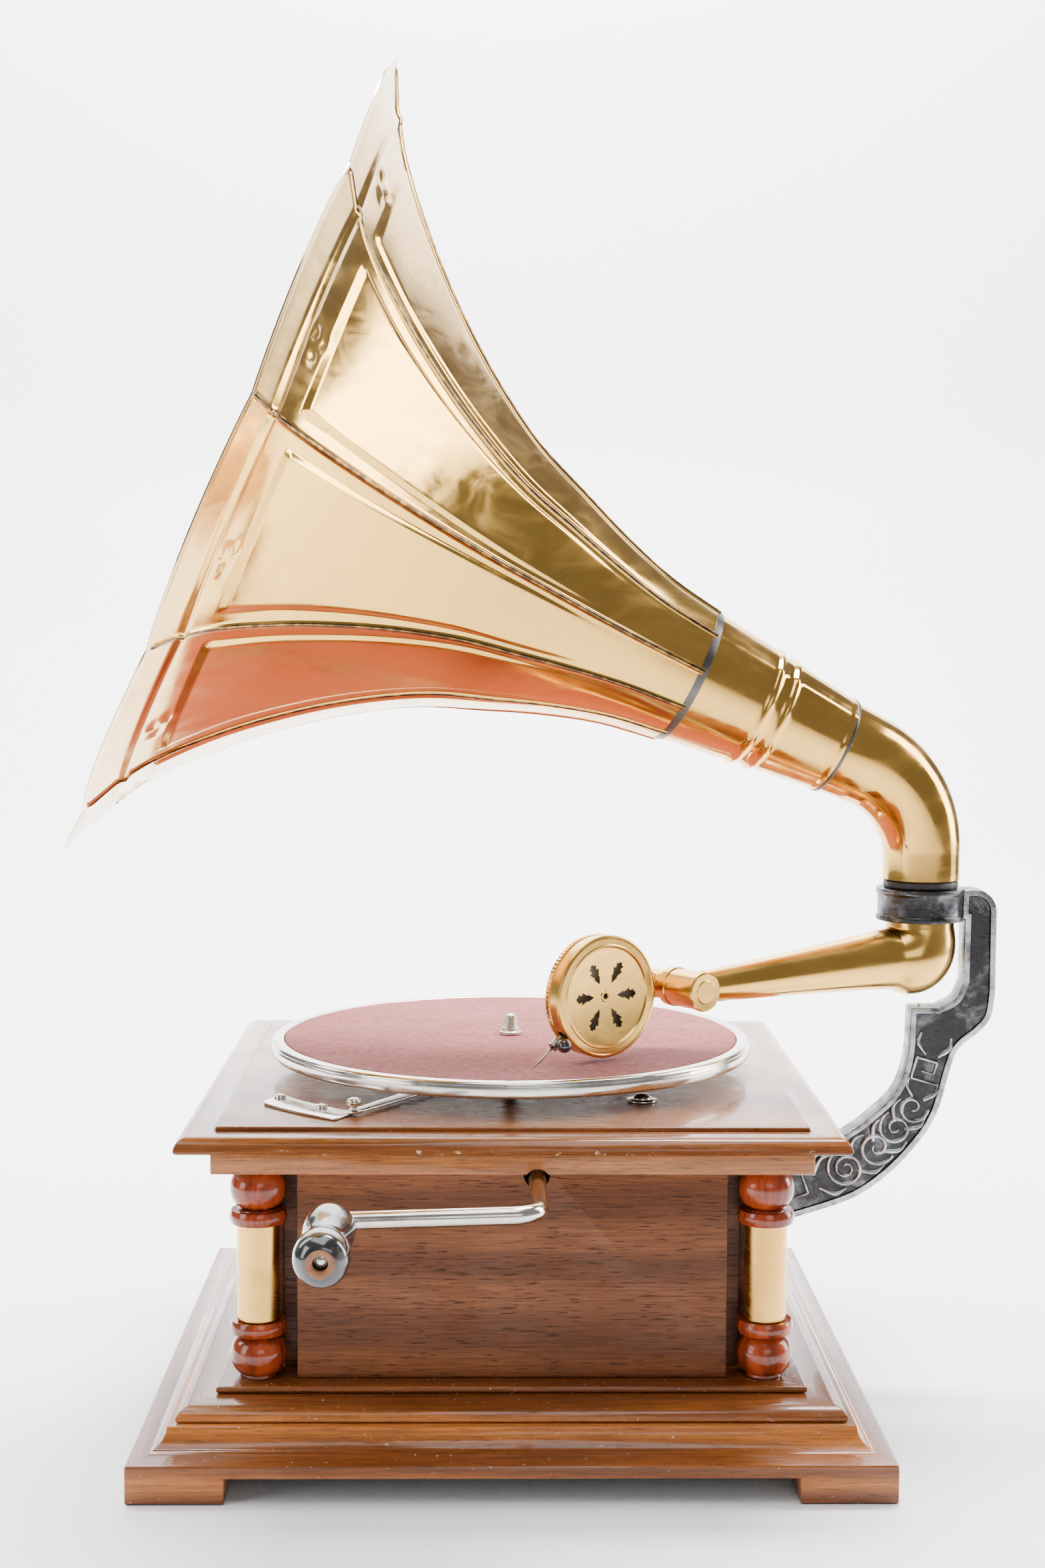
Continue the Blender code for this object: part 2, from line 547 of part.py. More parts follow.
def make_motor_frame(steel, base):
    cavity = MOTOR_TOP_PLATE_X[0], MOTOR_TOP_PLATE_Y[0], TOP_PLATE_BOTTOM
    top = piece("motor_top_plate", box(cavity, (MOTOR_TOP_PLATE_X[1], MOTOR_TOP_PLATE_Y[1], TOP_PLATE_TOP)),
                steel, base)
    bearing_y = BARREL_PLACE[1] - CROWN_RADIUS - 0.0095
    lug = box((CRANK_X - 0.008, bearing_y - 0.004, CRANK_HEIGHT - 0.008),
              (CRANK_X + 0.008, bearing_y, TOP_PLATE_TOP - 0.0005))
    joined(top, lug)
    tools = [rod(ARBOR_RADIUS + GAP, bearing_y - 0.01, bearing_y + 0.01, 16, (CRANK_X, 0, CRANK_HEIGHT), (0, 1, 0))]
    for (x, y), radius in [((0, 0), SPINDLE_RADIUS), (BARREL_PLACE, ARBOR_RADIUS)] + [
            (place, MOTOR_BOLT_RADIUS) for place in MOTOR_BOLTS]:
        tools.append(rod(radius + GAP, TOP_PLATE_BOTTOM - 0.01, TOP_PLATE_TOP + 0.01, 12, (x, y, 0)))
    for x, y in MOTOR_POSTS:
        tools.append(rod(MOTOR_POST_RADIUS - 0.001 + GAP, TOP_PLATE_BOTTOM - 0.01, TOP_PLATE_TOP + 0.01, 12,
                         (x, y, 0)))
    cut(top, *tools)

    frame = piece("motor_frame", box((MOTOR_BOTTOM_PLATE_X[0], MOTOR_BOTTOM_PLATE_Y[0], BOTTOM_PLATE_BOTTOM),
                                     (MOTOR_BOTTOM_PLATE_X[1], MOTOR_BOTTOM_PLATE_Y[1], BOTTOM_PLATE_TOP)),
                  steel, base)
    low = BOTTOM_PLATE_TOP - 0.001
    posts = []
    for x, y in MOTOR_POSTS:
        radius = MOTOR_POST_RADIUS
        shoulder = TOP_PLATE_BOTTOM - GAP
        posts.append(turned([(0, low), (radius, low), (radius, shoulder), (radius - 0.001, shoulder),
                             (radius - 0.001, TOP_PLATE_TOP - 0.0002), (0, TOP_PLATE_TOP - 0.0002)],
                            12, False, (x, y, 0)))
    posts.append(rod(0.002, low, GOVERNOR_HEIGHT + 0.004, 12, (*SPEED_PIVOT, 0)))
    governor_y = governor_axis()
    for x in GOVERNOR_X:
        posts.append(box((x - 0.0015, governor_y - 0.006, low), (x + 0.0015, governor_y + 0.006,
                                                                 GOVERNOR_HEIGHT + 0.006)))
    joined(frame, *posts)
    cut(frame, rod(0.0018, GOVERNOR_X[0] - 0.01, GOVERNOR_X[1] + 0.01, 12, (0, governor_y, GOVERNOR_HEIGHT),
                   (1, 0, 0)))

    head = BOARD_TOP + GAP
    nut_top = TOP_PLATE_BOTTOM - GAP
    shank = MOTOR_BOLT_RADIUS
    bolt = [(0, nut_top - 0.005), (shank, nut_top - 0.005), (shank, nut_top - 0.0035), (0.0042, nut_top - 0.0035),
            (0.0042, nut_top), (shank, nut_top), (shank, head), (MOTOR_WASHER_RADIUS, head),
            (MOTOR_WASHER_RADIUS, head + 0.001), (0.0045, head + 0.0012), (0.0042, head + 0.003),
            (0, head + 0.0038)]
    for number, (x, y) in enumerate(MOTOR_BOLTS, 1):
        piece(f"motor_bolt_{number}", turned(bolt, 12, False, (x, y, 0)), steel, base)


def governor_axis():
    return WORM_WHEEL_RADIUS + 0.0008 + GAP + WORM_RADIUS


def make_spring(steel, brass, joints):
    x, y = BARREL_PLACE
    wheel_low = BOTTOM_PLATE_TOP + 0.0115
    cup_low = wheel_low + 0.004
    cup_high = cup_low + BARREL_HEIGHT
    bore = ARBOR_RADIUS + GAP
    radius = BARREL_RADIUS
    wall = BARREL_WALL
    cup = turned([(0, wheel_low + 0.001), (0.02, wheel_low + 0.001), (radius, cup_low), (radius, cup_high),
                  (radius - wall, cup_high), (radius - wall, cup_low + 2 * wall), (0, cup_low + 2 * wall)],
                 32, False, (x, y, 0))
    barrel = piece("spring_barrel", cup, brass, joints["barrel"])
    to_transfer = math.atan2(joints["transfer"]["place"][1] - y, joints["transfer"]["place"][0] - x)
    wheel = gear_outline(BARREL_TEETH, BARREL_MODULE, to_transfer, BARREL_PLACE)
    joined(barrel, slab(wheel, wheel_low, cup_low + 0.0006))
    cut(barrel, rod(bore, wheel_low - 0.01, cup_low + 0.01, 16, (x, y, 0)))
    piece("barrel_cover", pipe(radius, bore, cup_high + GAP, cup_high + GAP + 0.001, 32, (x, y, 0)),
          brass, joints["barrel"])

    turns = 5
    steps = 14 * turns
    rings = []
    first = ARBOR_RADIUS + 0.0012
    last = radius - wall - 0.0012
    for index in range(steps + 1):
        angle = math.tau * index / 14
        middle = first + (last - first) * index / steps
        way = Vector((math.cos(angle), math.sin(angle), 0))
        low, high = cup_low + 2 * wall + 0.001, cup_high - 0.002
        rings.append([Vector((x, y, height)) + (middle + side) * way
                      for side, height in ((-0.0003, low), (0.0003, low), (0.0003, high), (-0.0003, high))])
    piece("mainspring", skin(rings), steel, joints["barrel"])

    arbor = piece("spring_arbor", rod(ARBOR_RADIUS, BOTTOM_PLATE_TOP + GAP, TOP_PLATE_TOP, 16, (x, y, 0)),
                  steel, joints["arbor"])
    crown_top = CRANK_HEIGHT - winding_tip() + 0.001
    tooth = 0.0018
    joined(arbor, rod(CROWN_RADIUS + 0.003, crown_top - tooth - 0.002, crown_top - tooth, 40, (x, y, 0)),
           *crown_teeth(crown_top, tooth, (x, y, 0)))


def winding_tip():
    return CROWN_RADIUS * WINDING_TEETH / CROWN_TEETH + 0.001


def crown_teeth(top, tooth, place):
    """Upright radial teeth, with a gap towards -Y for the winding pinion."""
    half = 0.17 * math.tau * CROWN_RADIUS / CROWN_TEETH
    teeth = []
    for index in range(CROWN_TEETH):
        angle = -math.pi / 2 + math.tau * (index + 0.5) / CROWN_TEETH
        bm = box((CROWN_RADIUS - 0.0035, -half, top - tooth - 0.0005), (CROWN_RADIUS + 0.0025, half, top))
        bmesh.ops.transform(bm, matrix=Matrix.Translation(place) @ Matrix.Rotation(angle, 4, "Z"), verts=bm.verts)
        teeth.append(bm)
    whole = bmesh.new()
    for bm in teeth:
        mesh = bpy.data.meshes.new("tooth")
        bm.to_mesh(mesh)
        bm.free()
        whole.from_mesh(mesh)
        bpy.data.meshes.remove(mesh)
    return [whole]


def make_train(steel, brass, fibre, joints):
    place = joints["transfer"]["place"]
    centre = (place[0], place[1])
    wheel_low = BOTTOM_PLATE_TOP + 0.004
    transfer = piece("transfer_wheel", rod(0.0025, BOTTOM_PLATE_TOP + GAP, TOP_PLATE_BOTTOM - GAP, 16,
                                           (*centre, 0)), steel, joints["transfer"])
    to_spindle = math.atan2(-centre[1], -centre[0])
    to_barrel = math.atan2(BARREL_PLACE[1] - centre[1], BARREL_PLACE[0] - centre[0])
    pinion = gear_outline(TRANSFER_PINION_TEETH, BARREL_MODULE, to_barrel + math.pi / TRANSFER_PINION_TEETH, centre)
    wheel = gear_outline(TRANSFER_TEETH, TRANSFER_MODULE, to_spindle, centre)
    joined(transfer, slab(pinion, wheel_low + 0.0065, wheel_low + 0.0135), slab(wheel, wheel_low, wheel_low + 0.003),
           rod(0.0055, wheel_low + 0.001, wheel_low + 0.007, 16, (*centre, 0)))

    top = FELT_TOP + SPINDLE_ABOVE_FELT
    seat = PLATTER_TOP - PLATTER_SHEET - GAP
    spindle = piece("turntable_spindle", turned([(0, BOTTOM_PLATE_TOP + GAP), (SPINDLE_RADIUS, BOTTOM_PLATE_TOP + GAP),
                                                 (SPINDLE_RADIUS, seat - 0.0025), (0.0062, seat - 0.0022),
                                                 (0.0062, seat), (SPINDLE_RADIUS, seat), (SPINDLE_RADIUS, top - 0.002),
                                                 (SPINDLE_RADIUS - 0.0014, top), (0, top)], 20), steel,
                    joints["platter"])
    from_transfer = math.atan2(centre[1], centre[0])
    small = gear_outline(SPINDLE_TEETH, TRANSFER_MODULE, from_transfer + math.pi / SPINDLE_TEETH)
    worm_wheel = gear_outline(WORM_WHEEL_TEETH, 2 * (WORM_WHEEL_RADIUS) / (WORM_WHEEL_TEETH + 1.2), math.pi / 2)
    joined(spindle, slab(small, wheel_low - 0.001, wheel_low + 0.004),
           slab(worm_wheel, GOVERNOR_HEIGHT - 0.002, GOVERNOR_HEIGHT + 0.002),
           rod(0.008, GOVERNOR_HEIGHT - 0.005, GOVERNOR_HEIGHT + 0.005, 20))

    x, y = CRANK_X, BARREL_PLACE[1] - CROWN_RADIUS
    axis_place = (x, 0, CRANK_HEIGHT)
    end = y + 0.007
    start = winding_start()
    shaft = piece("winding_shaft", turned([(0, start), (0.0068, start), (0.0068, start + 0.0045), (ARBOR_RADIUS, start + 0.0045),
                                           (ARBOR_RADIUS, end), (0, end)], 20, False, axis_place, (0, 1, 0)),
                  steel, joints["crank"])
    pitch_radius = CROWN_RADIUS * WINDING_TEETH / CROWN_TEETH
    teeth = gear_outline(WINDING_TEETH, 2 * pitch_radius / WINDING_TEETH, -math.pi / 2)
    upright = Matrix.Translation((x, y, CRANK_HEIGHT)) @ Matrix.Rotation(math.pi / 2, 4, "X")
    joined(shaft, slab(teeth, -0.004, 0.004, upright))


def winding_start():
    """Where the winding shaft meets the crank's rod, along Y."""
    return -CAVITY_HALF + 0.0028


def make_governor(steel, brass, joints):
    y = governor_axis()
    place = (0, y, GOVERNOR_HEIGHT)
    low, high = GOVERNOR_X[0] - 0.003, GOVERNOR_X[1] + 0.003
    thin = 0.0015
    shaft = [(0, low), (thin, low), (thin, low + 0.006), (0.0025, low + 0.006), (0.0025, 0.062),
             (0.0025, 0.066), (GOVERNOR_DISC_RADIUS, 0.066), (GOVERNOR_DISC_RADIUS, 0.0675), (0.004, 0.0675),
             (0.004, 0.070), (thin, 0.070), (thin, high), (0, high)]
    governor = piece("governor_shaft", turned(shaft, 16, False, place, (1, 0, 0)), steel, joints["governor"])
    rings = []
    corners = 4 * WORM_STARTS
    pitch_radius = WORM_WHEEL_RADIUS * WORM_WHEEL_TEETH / (WORM_WHEEL_TEETH + 1.2)
    lead = math.tau * pitch_radius * WORM_STARTS / WORM_WHEEL_TEETH
    for index in range(14):
        x = lead / corners * (index - 6.5)
        ring = []
        for corner in range(corners):
            angle = math.tau * (corner + index) / corners
            radius = WORM_RADIUS if corner % 4 < 2 else WORM_RADIUS - 0.001
            ring.append((x, y + radius * math.cos(angle), GOVERNOR_HEIGHT + radius * math.sin(angle)))
        rings.append(ring)
    joined(governor, skin(rings))

    cage = piece("governor_weights", pipe(0.0055, 0.0025 + GAP, 0.028, 0.033, 16, place, (1, 0, 0)), brass,
                 joints["governor"])
    parts = [pipe(0.0055, 0.0025 + GAP, 0.057, 0.0615, 16, place, (1, 0, 0))]
    for number in range(3):
        turn = Matrix.Translation(place) @ Matrix.Rotation(math.tau * number / 3, 4, "X")
        outline = [(0.0285, 0.0048), (0.040, 0.0098), (0.050, 0.0098), (0.061, 0.0048)]
        spring = [(u, v) for u, v in outline] + [(u, v + 0.0006) for u, v in outline[::-1]]
        upright = turn @ Matrix.Rotation(math.pi / 2, 4, "X")
        parts.append(slab(spring, -0.002, 0.002, upright))
        weight = rod(0.0045, 0.0101, GOVERNOR_RADIUS, 8, (0.045, 0, 0))
        bmesh.ops.transform(weight, matrix=turn, verts=weight.verts)
        parts.append(weight)
    joined(cage, *parts)

    pivot = SPEED_PIVOT
    disc_face = 0.0675 + 0.0006
    height = GOVERNOR_HEIGHT
    arm = slab([(pivot[0] - 0.003, pivot[1]), (disc_face, y + 0.011), (disc_face, y + 0.0058),
                (disc_face + 0.0025, y + 0.0058), (disc_face + 0.004, y + 0.009), (pivot[0] + 0.003, pivot[1])],
               height - 0.001, height + 0.001)
    lever = piece("speed_lever", arm, steel, joints["speed"])
    joined(lever, rod(0.0045, height - 0.0025, height + 0.0025, 16, (*pivot, 0)))
    cut(lever, rod(0.002 + GAP, height - 0.01, height + 0.01, 12, (*pivot, 0)))


# ---------------------------------------------------------------- crank, brake, needle cup

def crank_end():
    """The handle pin's place on the arm."""
    return Vector((CRANK_X - CRANK_ARM * math.cos(CRANK_DIP), CRANK_PLANE,
                   CRANK_HEIGHT - CRANK_ARM * math.sin(CRANK_DIP)))


def make_crank(nickel, lacquer, joints):
    axis_start = Vector((CRANK_X, winding_start() - GAP, CRANK_HEIGHT))
    corner = Vector((CRANK_X, CRANK_PLANE, CRANK_HEIGHT))
    end = crank_end()
    out = Vector((0, -1, 0))
    along = (end - corner).normalized()
    radius = CRANK_ROD_RADIUS
    stations = [(axis_start, out, radius), (corner - CRANK_BEND * out, out, radius)]
    stations += bend(corner, out, along, CRANK_BEND, radius)
    turn = CRANK_ROD_RADIUS + 0.001
    stations.append((end - turn * along, along, radius))
    stations += bend(end, along, out, turn, radius)
    pin = HANDLE_PIN_RADIUS
    tip = end + (HANDLE_LENGTH - 0.004) * out
    stations += [(end + (turn + 0.001) * out, out, pin), (tip, out, pin)]
    piece("crank_arm", duct(stations, UP, 0, 12), nickel, joints["crank"])

    grip = turn + 0.0015
    length = HANDLE_LENGTH - grip
    shape = ((0.62, 0.0), (0.88, 0.05), (0.95, 0.16), (0.88, 0.30), (0.68, 0.46), (0.74, 0.58), (0.95, 0.70),
             (1.0, 0.82), (0.86, 0.93), (0.50, 1.0))
    profile = [(pin + GAP, grip)]
    profile += [(HANDLE_RADIUS * radius, grip + length * share) for radius, share in shape]
    profile.append((pin + GAP, grip + length))
    piece("crank_handle", turned(profile, 16, True, end, out), lacquer, joints["handle"])


def bend(corner, before, after, radius, thick, steps=4):
    """Stations round a corner between two directions at right angles or less."""
    stations = []
    centre = corner - radius * before + radius * after
    for index in range(1, steps + 1):
        angle = math.pi / 2 * index / steps
        way = math.cos(angle) * before + math.sin(angle) * after
        place = centre - radius * math.cos(angle) * after + radius * math.sin(angle) * before
        stations.append((place, way.normalized(), thick))
    return stations


def polar(radius, angle, height=0.0):
    return Vector((radius * math.cos(angle), radius * math.sin(angle), height))


def make_brake(nickel, joints):
    low = BOARD_TOP + GAP
    inner, outer = BRAKE_PLATE_RADII
    start, end = BRAKE_PLATE_ANGLES
    outline = arc((0, 0), outer, start + math.radians(4), end, 8) + arc((0, 0), inner, end - math.radians(6), start, 8)
    plate = piece("brake_plate", slab(outline, low, low + BRAKE_SHEET), nickel, joints["base"])
    rivets = []
    for radius, angle in ((0.1415, math.radians(215.6)), (0.1400, math.radians(228.4))):
        rivet = turned([(0, -0.0005), (0.003, -0.0005), (0.0029, 0.0008), (0.0018, 0.0017), (0, 0.002)], 12, False,
                       polar(radius, angle, low + BRAKE_SHEET))
        rivets.append(rivet)
    joined(plate, *rivets)

    lever_low = low + BRAKE_SHEET + GAP
    lever_high = lever_low + BRAKE_SHEET
    pivot = polar(BRAKE_PIVOT_RADIUS, BRAKE_ANGLE)
    way = polar(1, BRAKE_ANGLE)
    aside = Vector((-way.y, way.x, 0))
    tip = pivot + BRAKE_KNOB_REACH * way
    outline = []
    for along, across in ((0, 0.006), (0.06, 0.004), (BRAKE_KNOB_REACH + 0.003, 0.003),
                          (BRAKE_KNOB_REACH + 0.003, -0.003), (0.06, -0.004), (0, -0.006), (-0.005, -0.003),
                          (-0.005, 0.003)):
        point = pivot + along * way + across * aside
        outline.append((point.x, point.y))
    lever = piece("brake_lever", slab(outline, lever_low, lever_high), nickel, joints["brake"])
    cut(lever, rod(0.0022 + GAP, lever_low - 0.01, lever_high + 0.01, 12, pivot))
    knob = turned([(0, 0), (0.002, 0), (0.0019, 0.0012), (0.0034, 0.0026), (0.0036, 0.0040), (0.0026, 0.0056),
                   (0, 0.0062)], 14, False, (tip.x, tip.y, lever_high + GAP))
    piece("brake_knob", knob, nickel, joints["brake"])
    screw = turned([(0, low), (0.0022, low), (0.0022, lever_high + GAP), (0.004, lever_high + GAP),
                    (0.0038, lever_high + 0.0014), (0, lever_high + 0.0018)], 12, False, pivot)
    piece("brake_screw", screw, nickel, joints["base"])

    cup = [(0, low), (NEEDLE_CUP_RADIUS * 0.75, low), (NEEDLE_CUP_RADIUS, low + 0.0035),
           (NEEDLE_CUP_RADIUS, low + 0.0045), (NEEDLE_CUP_RADIUS * 0.88, low + 0.0045),
           (NEEDLE_CUP_RADIUS * 0.65, low + 0.0014), (0, low + 0.0012)]
    piece("needle_cup", turned(cup, 24, False, (*NEEDLE_CUP_PLACE, 0)), nickel, joints["base"])


# ---------------------------------------------------------------- bracket, tonearm, soundbox

def make_bracket(iron, steel, rubber, joints):
    face = SIDE_PANEL_FACE + GAP

    def placed(points):
        """Points measured from the pivot's axis and the motor board's height."""
        return [(PIVOT_X + x, BOARD_TOP + z) for x, z in points]

    foot = [(face, BOARD_TOP - 0.0845)]
    head = [(face, BOARD_TOP - 0.0540)]
    lug = LUG_TOP - BOARD_TOP
    lower = smoothed(foot + placed([(-0.0630, -0.0784), (-0.0346, -0.0686), (-0.0159, -0.0555),
                                    (-0.0005, -0.0389), (0.0096, -0.0223), (0.0170, 0.0040)]), 2)
    heel = smoothed(placed([(0.0217, 0.0133), (0.0315, 0.0215), (0.0375, 0.0295), (0.0395, 0.0420)]), 2)
    crown_top = RING_TOP - 0.0004
    crown_bottom = RING_BOTTOM + 0.0007
    crown = arc((PIVOT_X + RING_RADIUS + 0.0043, crown_top - 0.0118), 0.0118, 0, math.pi / 2, 4)
    inside = smoothed([(PIVOT_X + RING_RADIUS - 0.0007, crown_bottom)]
                      + placed([(0.0223, 0.0480), (0.0180, 0.0390), (0.0090, lug)]), 3)
    upper = smoothed(placed([(-0.0055, lug), (-0.0067, 0.0080), (-0.0130, -0.0108), (-0.0260, -0.0241),
                             (-0.0386, -0.0335), (-0.0605, -0.0455)]) + head, 2)
    neck = RING_BORE + 0.0025 + PIVOT_X
    outline = [tuple(point) for point in lower + heel] + crown
    outline += [(neck, crown_top), (neck, crown_bottom)]
    outline += [tuple(point) for point in inside + upper]
    half = BRACKET_THICKNESS / 2
    upright = Matrix.Rotation(math.pi / 2, 4, "X")
    bracket = piece("horn_bracket", slab(outline, -half, half, upright), iron, joints["base"])
    joined(bracket, pipe(RING_RADIUS, RING_BORE, RING_BOTTOM, RING_TOP, 24, (PIVOT_X, 0, 0)))
    screw = PIVOT_SCREW_RADIUS
    cut(bracket, rod(screw + GAP, LUG_TOP - 0.014, LUG_TOP + 0.01, 12, (PIVOT_X, 0, 0)))

    heel_height = TONEARM_HINGE_HEIGHT - 2 * TONEARM_BEND_RADIUS
    piece("pivot_screw", turned([(0, LUG_TOP - 0.0135), (screw, LUG_TOP - 0.0135), (screw, heel_height - 0.003),
                                 (0, heel_height - 0.0004)], 12, False, (PIVOT_X, 0, 0)), steel, joints["base"])
    piece("horn_gasket", pipe(GASKET_RADIUS, GASKET_BORE, RING_TOP + GAP, RING_TOP + GASKET_HEIGHT - GAP, 24,
                              (PIVOT_X, 0, 0)), rubber, joints["base"])


def head_directions():
    """The way the soundbox's plane runs from the crossbar, and the way its face looks."""
    along = Vector((-math.cos(HEAD_TURN), -math.sin(HEAD_TURN), 0))
    return along, Vector((-along.y, along.x, 0))


def crossbar_middle():
    return Vector((PIVOT_X - TONEARM_LENGTH * math.cos(TONEARM_TURN), -TONEARM_LENGTH * math.sin(TONEARM_TURN),
                   TONEARM_TIP_HEIGHT))


def make_tonearm(brass, joints):
    away = Vector((-math.cos(TONEARM_TURN), -math.sin(TONEARM_TURN), 0))
    side = away.cross(UP)
    inset = TONEARM_TOP_RADIUS + 0.0005
    hinge = Vector((PIVOT_X, 0, TONEARM_HINGE_HEIGHT)) + inset * away
    top = Vector((PIVOT_X, 0, RING_TOP - 0.001))
    stations = [(top, -UP, TONEARM_TOP_RADIUS)]
    turns = 5
    for index in range(turns + 1):
        angle = math.pi / 2 * index / turns
        swell = math.sin(2 * angle)
        plain = TONEARM_TOP_RADIUS + (TONEARM_HEEL_RADIUS - TONEARM_TOP_RADIUS) * index / turns
        radius = plain + (TONEARM_BEND_RADIUS - plain) * swell
        spoke = -math.cos(angle) * away - math.sin(angle) * UP
        way = math.sin(angle) * away - math.cos(angle) * UP
        stations.append((hinge + (radius + 0.0005) * spoke, way, radius))
    start = stations[-1][0]
    end = crossbar_middle()
    way = (end - start).normalized()
    for share in (0.5, 1.0):
        radius = TONEARM_HEEL_RADIUS + (TONEARM_TIP_RADIUS - TONEARM_HEEL_RADIUS) * share
        stations.append((start.lerp(end, share), way, radius))
    tonearm = piece("tonearm", duct(stations, side, TUBE_WALL, 20), brass, joints["tonearm"], 50)
    along, out = head_directions()
    cut(tonearm, rod(CROSSBAR_RADIUS + GAP, -CROSSBAR_LENGTH, CROSSBAR_LENGTH, 28, end, out))

    half = CROSSBAR_LENGTH / 2
    inner = CROSSBAR_RADIUS - 0.0015
    cap = half - 0.002
    bar = turned([(0, half), (CROSSBAR_RADIUS - 0.0004, half), (CROSSBAR_RADIUS, half - 0.0004),
                  (CROSSBAR_RADIUS, -half), (inner, -half), (inner, cap), (0, cap)], 28, False, end, out)
    crossbar = piece("crossbar", bar, brass, joints["tonearm"])
    cut(crossbar, rod(TONEARM_TIP_RADIUS - TUBE_WALL, -2 * CROSSBAR_RADIUS, 0, 16, end, way))


def soundbox_centre():
    along, out = head_directions()
    return crossbar_middle() + SOUNDBOX_OFFSET * along


def make_soundbox(brass, steel, mica, dark, joints):
    along, out = head_directions()
    middle = crossbar_middle()
    radius = GOOSENECK_RADIUS
    first = middle - (CROSSBAR_LENGTH / 2 + GAP) * out
    back = SOUNDBOX_FACE - SOUNDBOX_DEPTH
    end = middle + SOUNDBOX_OFFSET * along + (back - GAP) * out
    depth = GOOSENECK_BEND + 0.0045
    corner = first - depth * out
    turn = end + (corner - first) - out * ((end - first).dot(out))
    lean = GOOSENECK_BEND
    stations = [(first, -out, radius), (corner + lean * out, -out, radius)]
    stations += bend(corner, -out, along, lean, radius)
    stations.append((turn - lean * along, along, radius))
    stations += bend(turn, along, out, lean, radius)
    stations.append((end, out, radius))
    piece("gooseneck", duct(stations, UP, TUBE_WALL, 14), brass, joints["lift"], 50)

    centre = soundbox_centre()
    wall = SOUNDBOX_WALL
    radius = SOUNDBOX_RADIUS
    front = SOUNDBOX_FACE - COVER_DEPTH - GAP
    case = [(radius - wall, front), (radius - 0.0004, front), (radius - 0.0004, back + 0.0028),
            (radius, back + 0.0024), (radius, back + 0.0004), (radius - 0.0004, back),
            (0.006, back), (0.006, back + 0.0016), (radius - wall, back + 0.0016)]
    case_obj = piece("soundbox_case", turned(case, 32, True, centre, out), brass, joints["lift"])
    way = math.cos(NEEDLE_DIP) * along - math.sin(NEEDLE_DIP) * UP
    needle_plane = SOUNDBOX_FACE - 0.0052
    notch_from = centre + (radius - 2 * wall) * way + needle_plane * out
    cut(case_obj, rod(0.0032, 0, 3 * wall, 12, notch_from, way))

    dish = COVER_DISH_RADIUS
    face = SOUNDBOX_FACE
    sheet = 0.0007
    cover = [(radius - 0.0004, face - COVER_DEPTH), (radius, face - COVER_DEPTH + 0.0004), (radius, face - 0.0004),
             (radius - 0.0004, face), (dish + 0.0006, face), (dish, face - 0.0006), (dish * 0.5, face - 0.0019),
             (0.0012, face - 0.0021), (0.0012, face - 0.0021 - sheet), (dish * 0.5, face - 0.0019 - sheet),
             (dish, face - COVER_DEPTH)]
    cover_obj = piece("soundbox_cover", turned(cover, 32, True, centre, out), brass, joints["lift"])
    arrow = [(0.0075, 0.0), (0.0115, 0.0018), (0.0115, 0.0010), (0.0160, 0.0027), (0.0160, 0.0010),
             (0.0185, 0.0010)]
    outline = arrow + [(u, -v) for u, v in arrow[:0:-1]]
    across = UP
    basis = Matrix((along, across, out)).transposed().to_4x4()
    slots = bmesh.new()
    for number in range(COVER_SLOTS):
        spot = Matrix.Translation(centre) @ basis @ Matrix.Rotation(math.tau * number / COVER_SLOTS, 4, "Z")
        tool = slab(outline, face - 0.006, face + 0.002, spot)
        mesh = bpy.data.meshes.new("slot")
        tool.to_mesh(mesh)
        tool.free()
        slots.from_mesh(mesh)
        bpy.data.meshes.remove(mesh)
    cut(cover_obj, slots)
    disc = back + 0.0042
    piece("diaphragm", rod(radius - wall - GAP, disc, disc + DIAPHRAGM_THICKNESS, 32, centre, out), mica,
          joints["lift"])
    make_needle(steel, dark, joints["needle"], centre + needle_plane * out, way, out)


def make_needle(steel, dark, joint, hub, way, out):
    """The stylus bar from the diaphragm out to the needle's holder, with its screw and needle."""
    rim = SOUNDBOX_RADIUS
    bar = turned([(0, 0.002), (0.0010, 0.002), (0.0010, rim - 0.0062), (0.0018, rim - 0.0040),
                  (0.0018, rim + 0.0004), (HOLDER_RADIUS, rim + 0.0012), (HOLDER_RADIUS, rim + 0.0075),
                  (0.0010, rim + 0.0075), (0.0010, rim + 0.0015), (0, rim + 0.0015)], 14, False, hub, way)
    holder = piece("needle_bar", bar, steel, joint)
    screw_at = hub + (rim + 0.0048) * way
    cut(holder, rod(0.0011 + GAP, 0.0002, 0.006, 12, screw_at, out))
    screw = [(0, 0.00085), (0.0011, 0.00085), (0.0011, 0.0034), (0.0024, 0.0040), (0.0036, 0.0058), (0.0034, 0.0078),
             (0.0020, 0.0094), (0, 0.0099)]
    piece("needle_screw", turned(screw, 14, False, screw_at, out), dark, joint)
    reach = (hub.z - FELT_TOP - NEEDLE_CLEARANCE) / math.sin(NEEDLE_DIP)
    radius = NEEDLE_RADIUS
    needle = [(0, rim + 0.0019), (radius, rim + 0.0019), (radius, reach - 0.005), (0, reach)]
    piece("needle", turned(needle, 10, False, hub, way), steel, joint)


# ---------------------------------------------------------------- horn

def horn_directions():
    flat = Vector((-math.cos(HORN_TURN), -math.sin(HORN_TURN), 0))
    axis = math.cos(HORN_RISE) * flat + math.sin(HORN_RISE) * UP
    return flat, axis


def elbow_end():
    """Where the elbow meets the neck, on the horn's axis."""
    flat, axis = horn_directions()
    turn = math.pi / 2 - HORN_RISE
    foot = Vector((PIVOT_X, 0, RING_TOP + GASKET_HEIGHT + ELBOW_FOOT_HEIGHT))
    centre = foot + ELBOW_BEND * flat
    return centre + ELBOW_BEND * (-math.cos(turn) * flat + math.sin(turn) * UP) + ELBOW_HEAD_LENGTH * axis


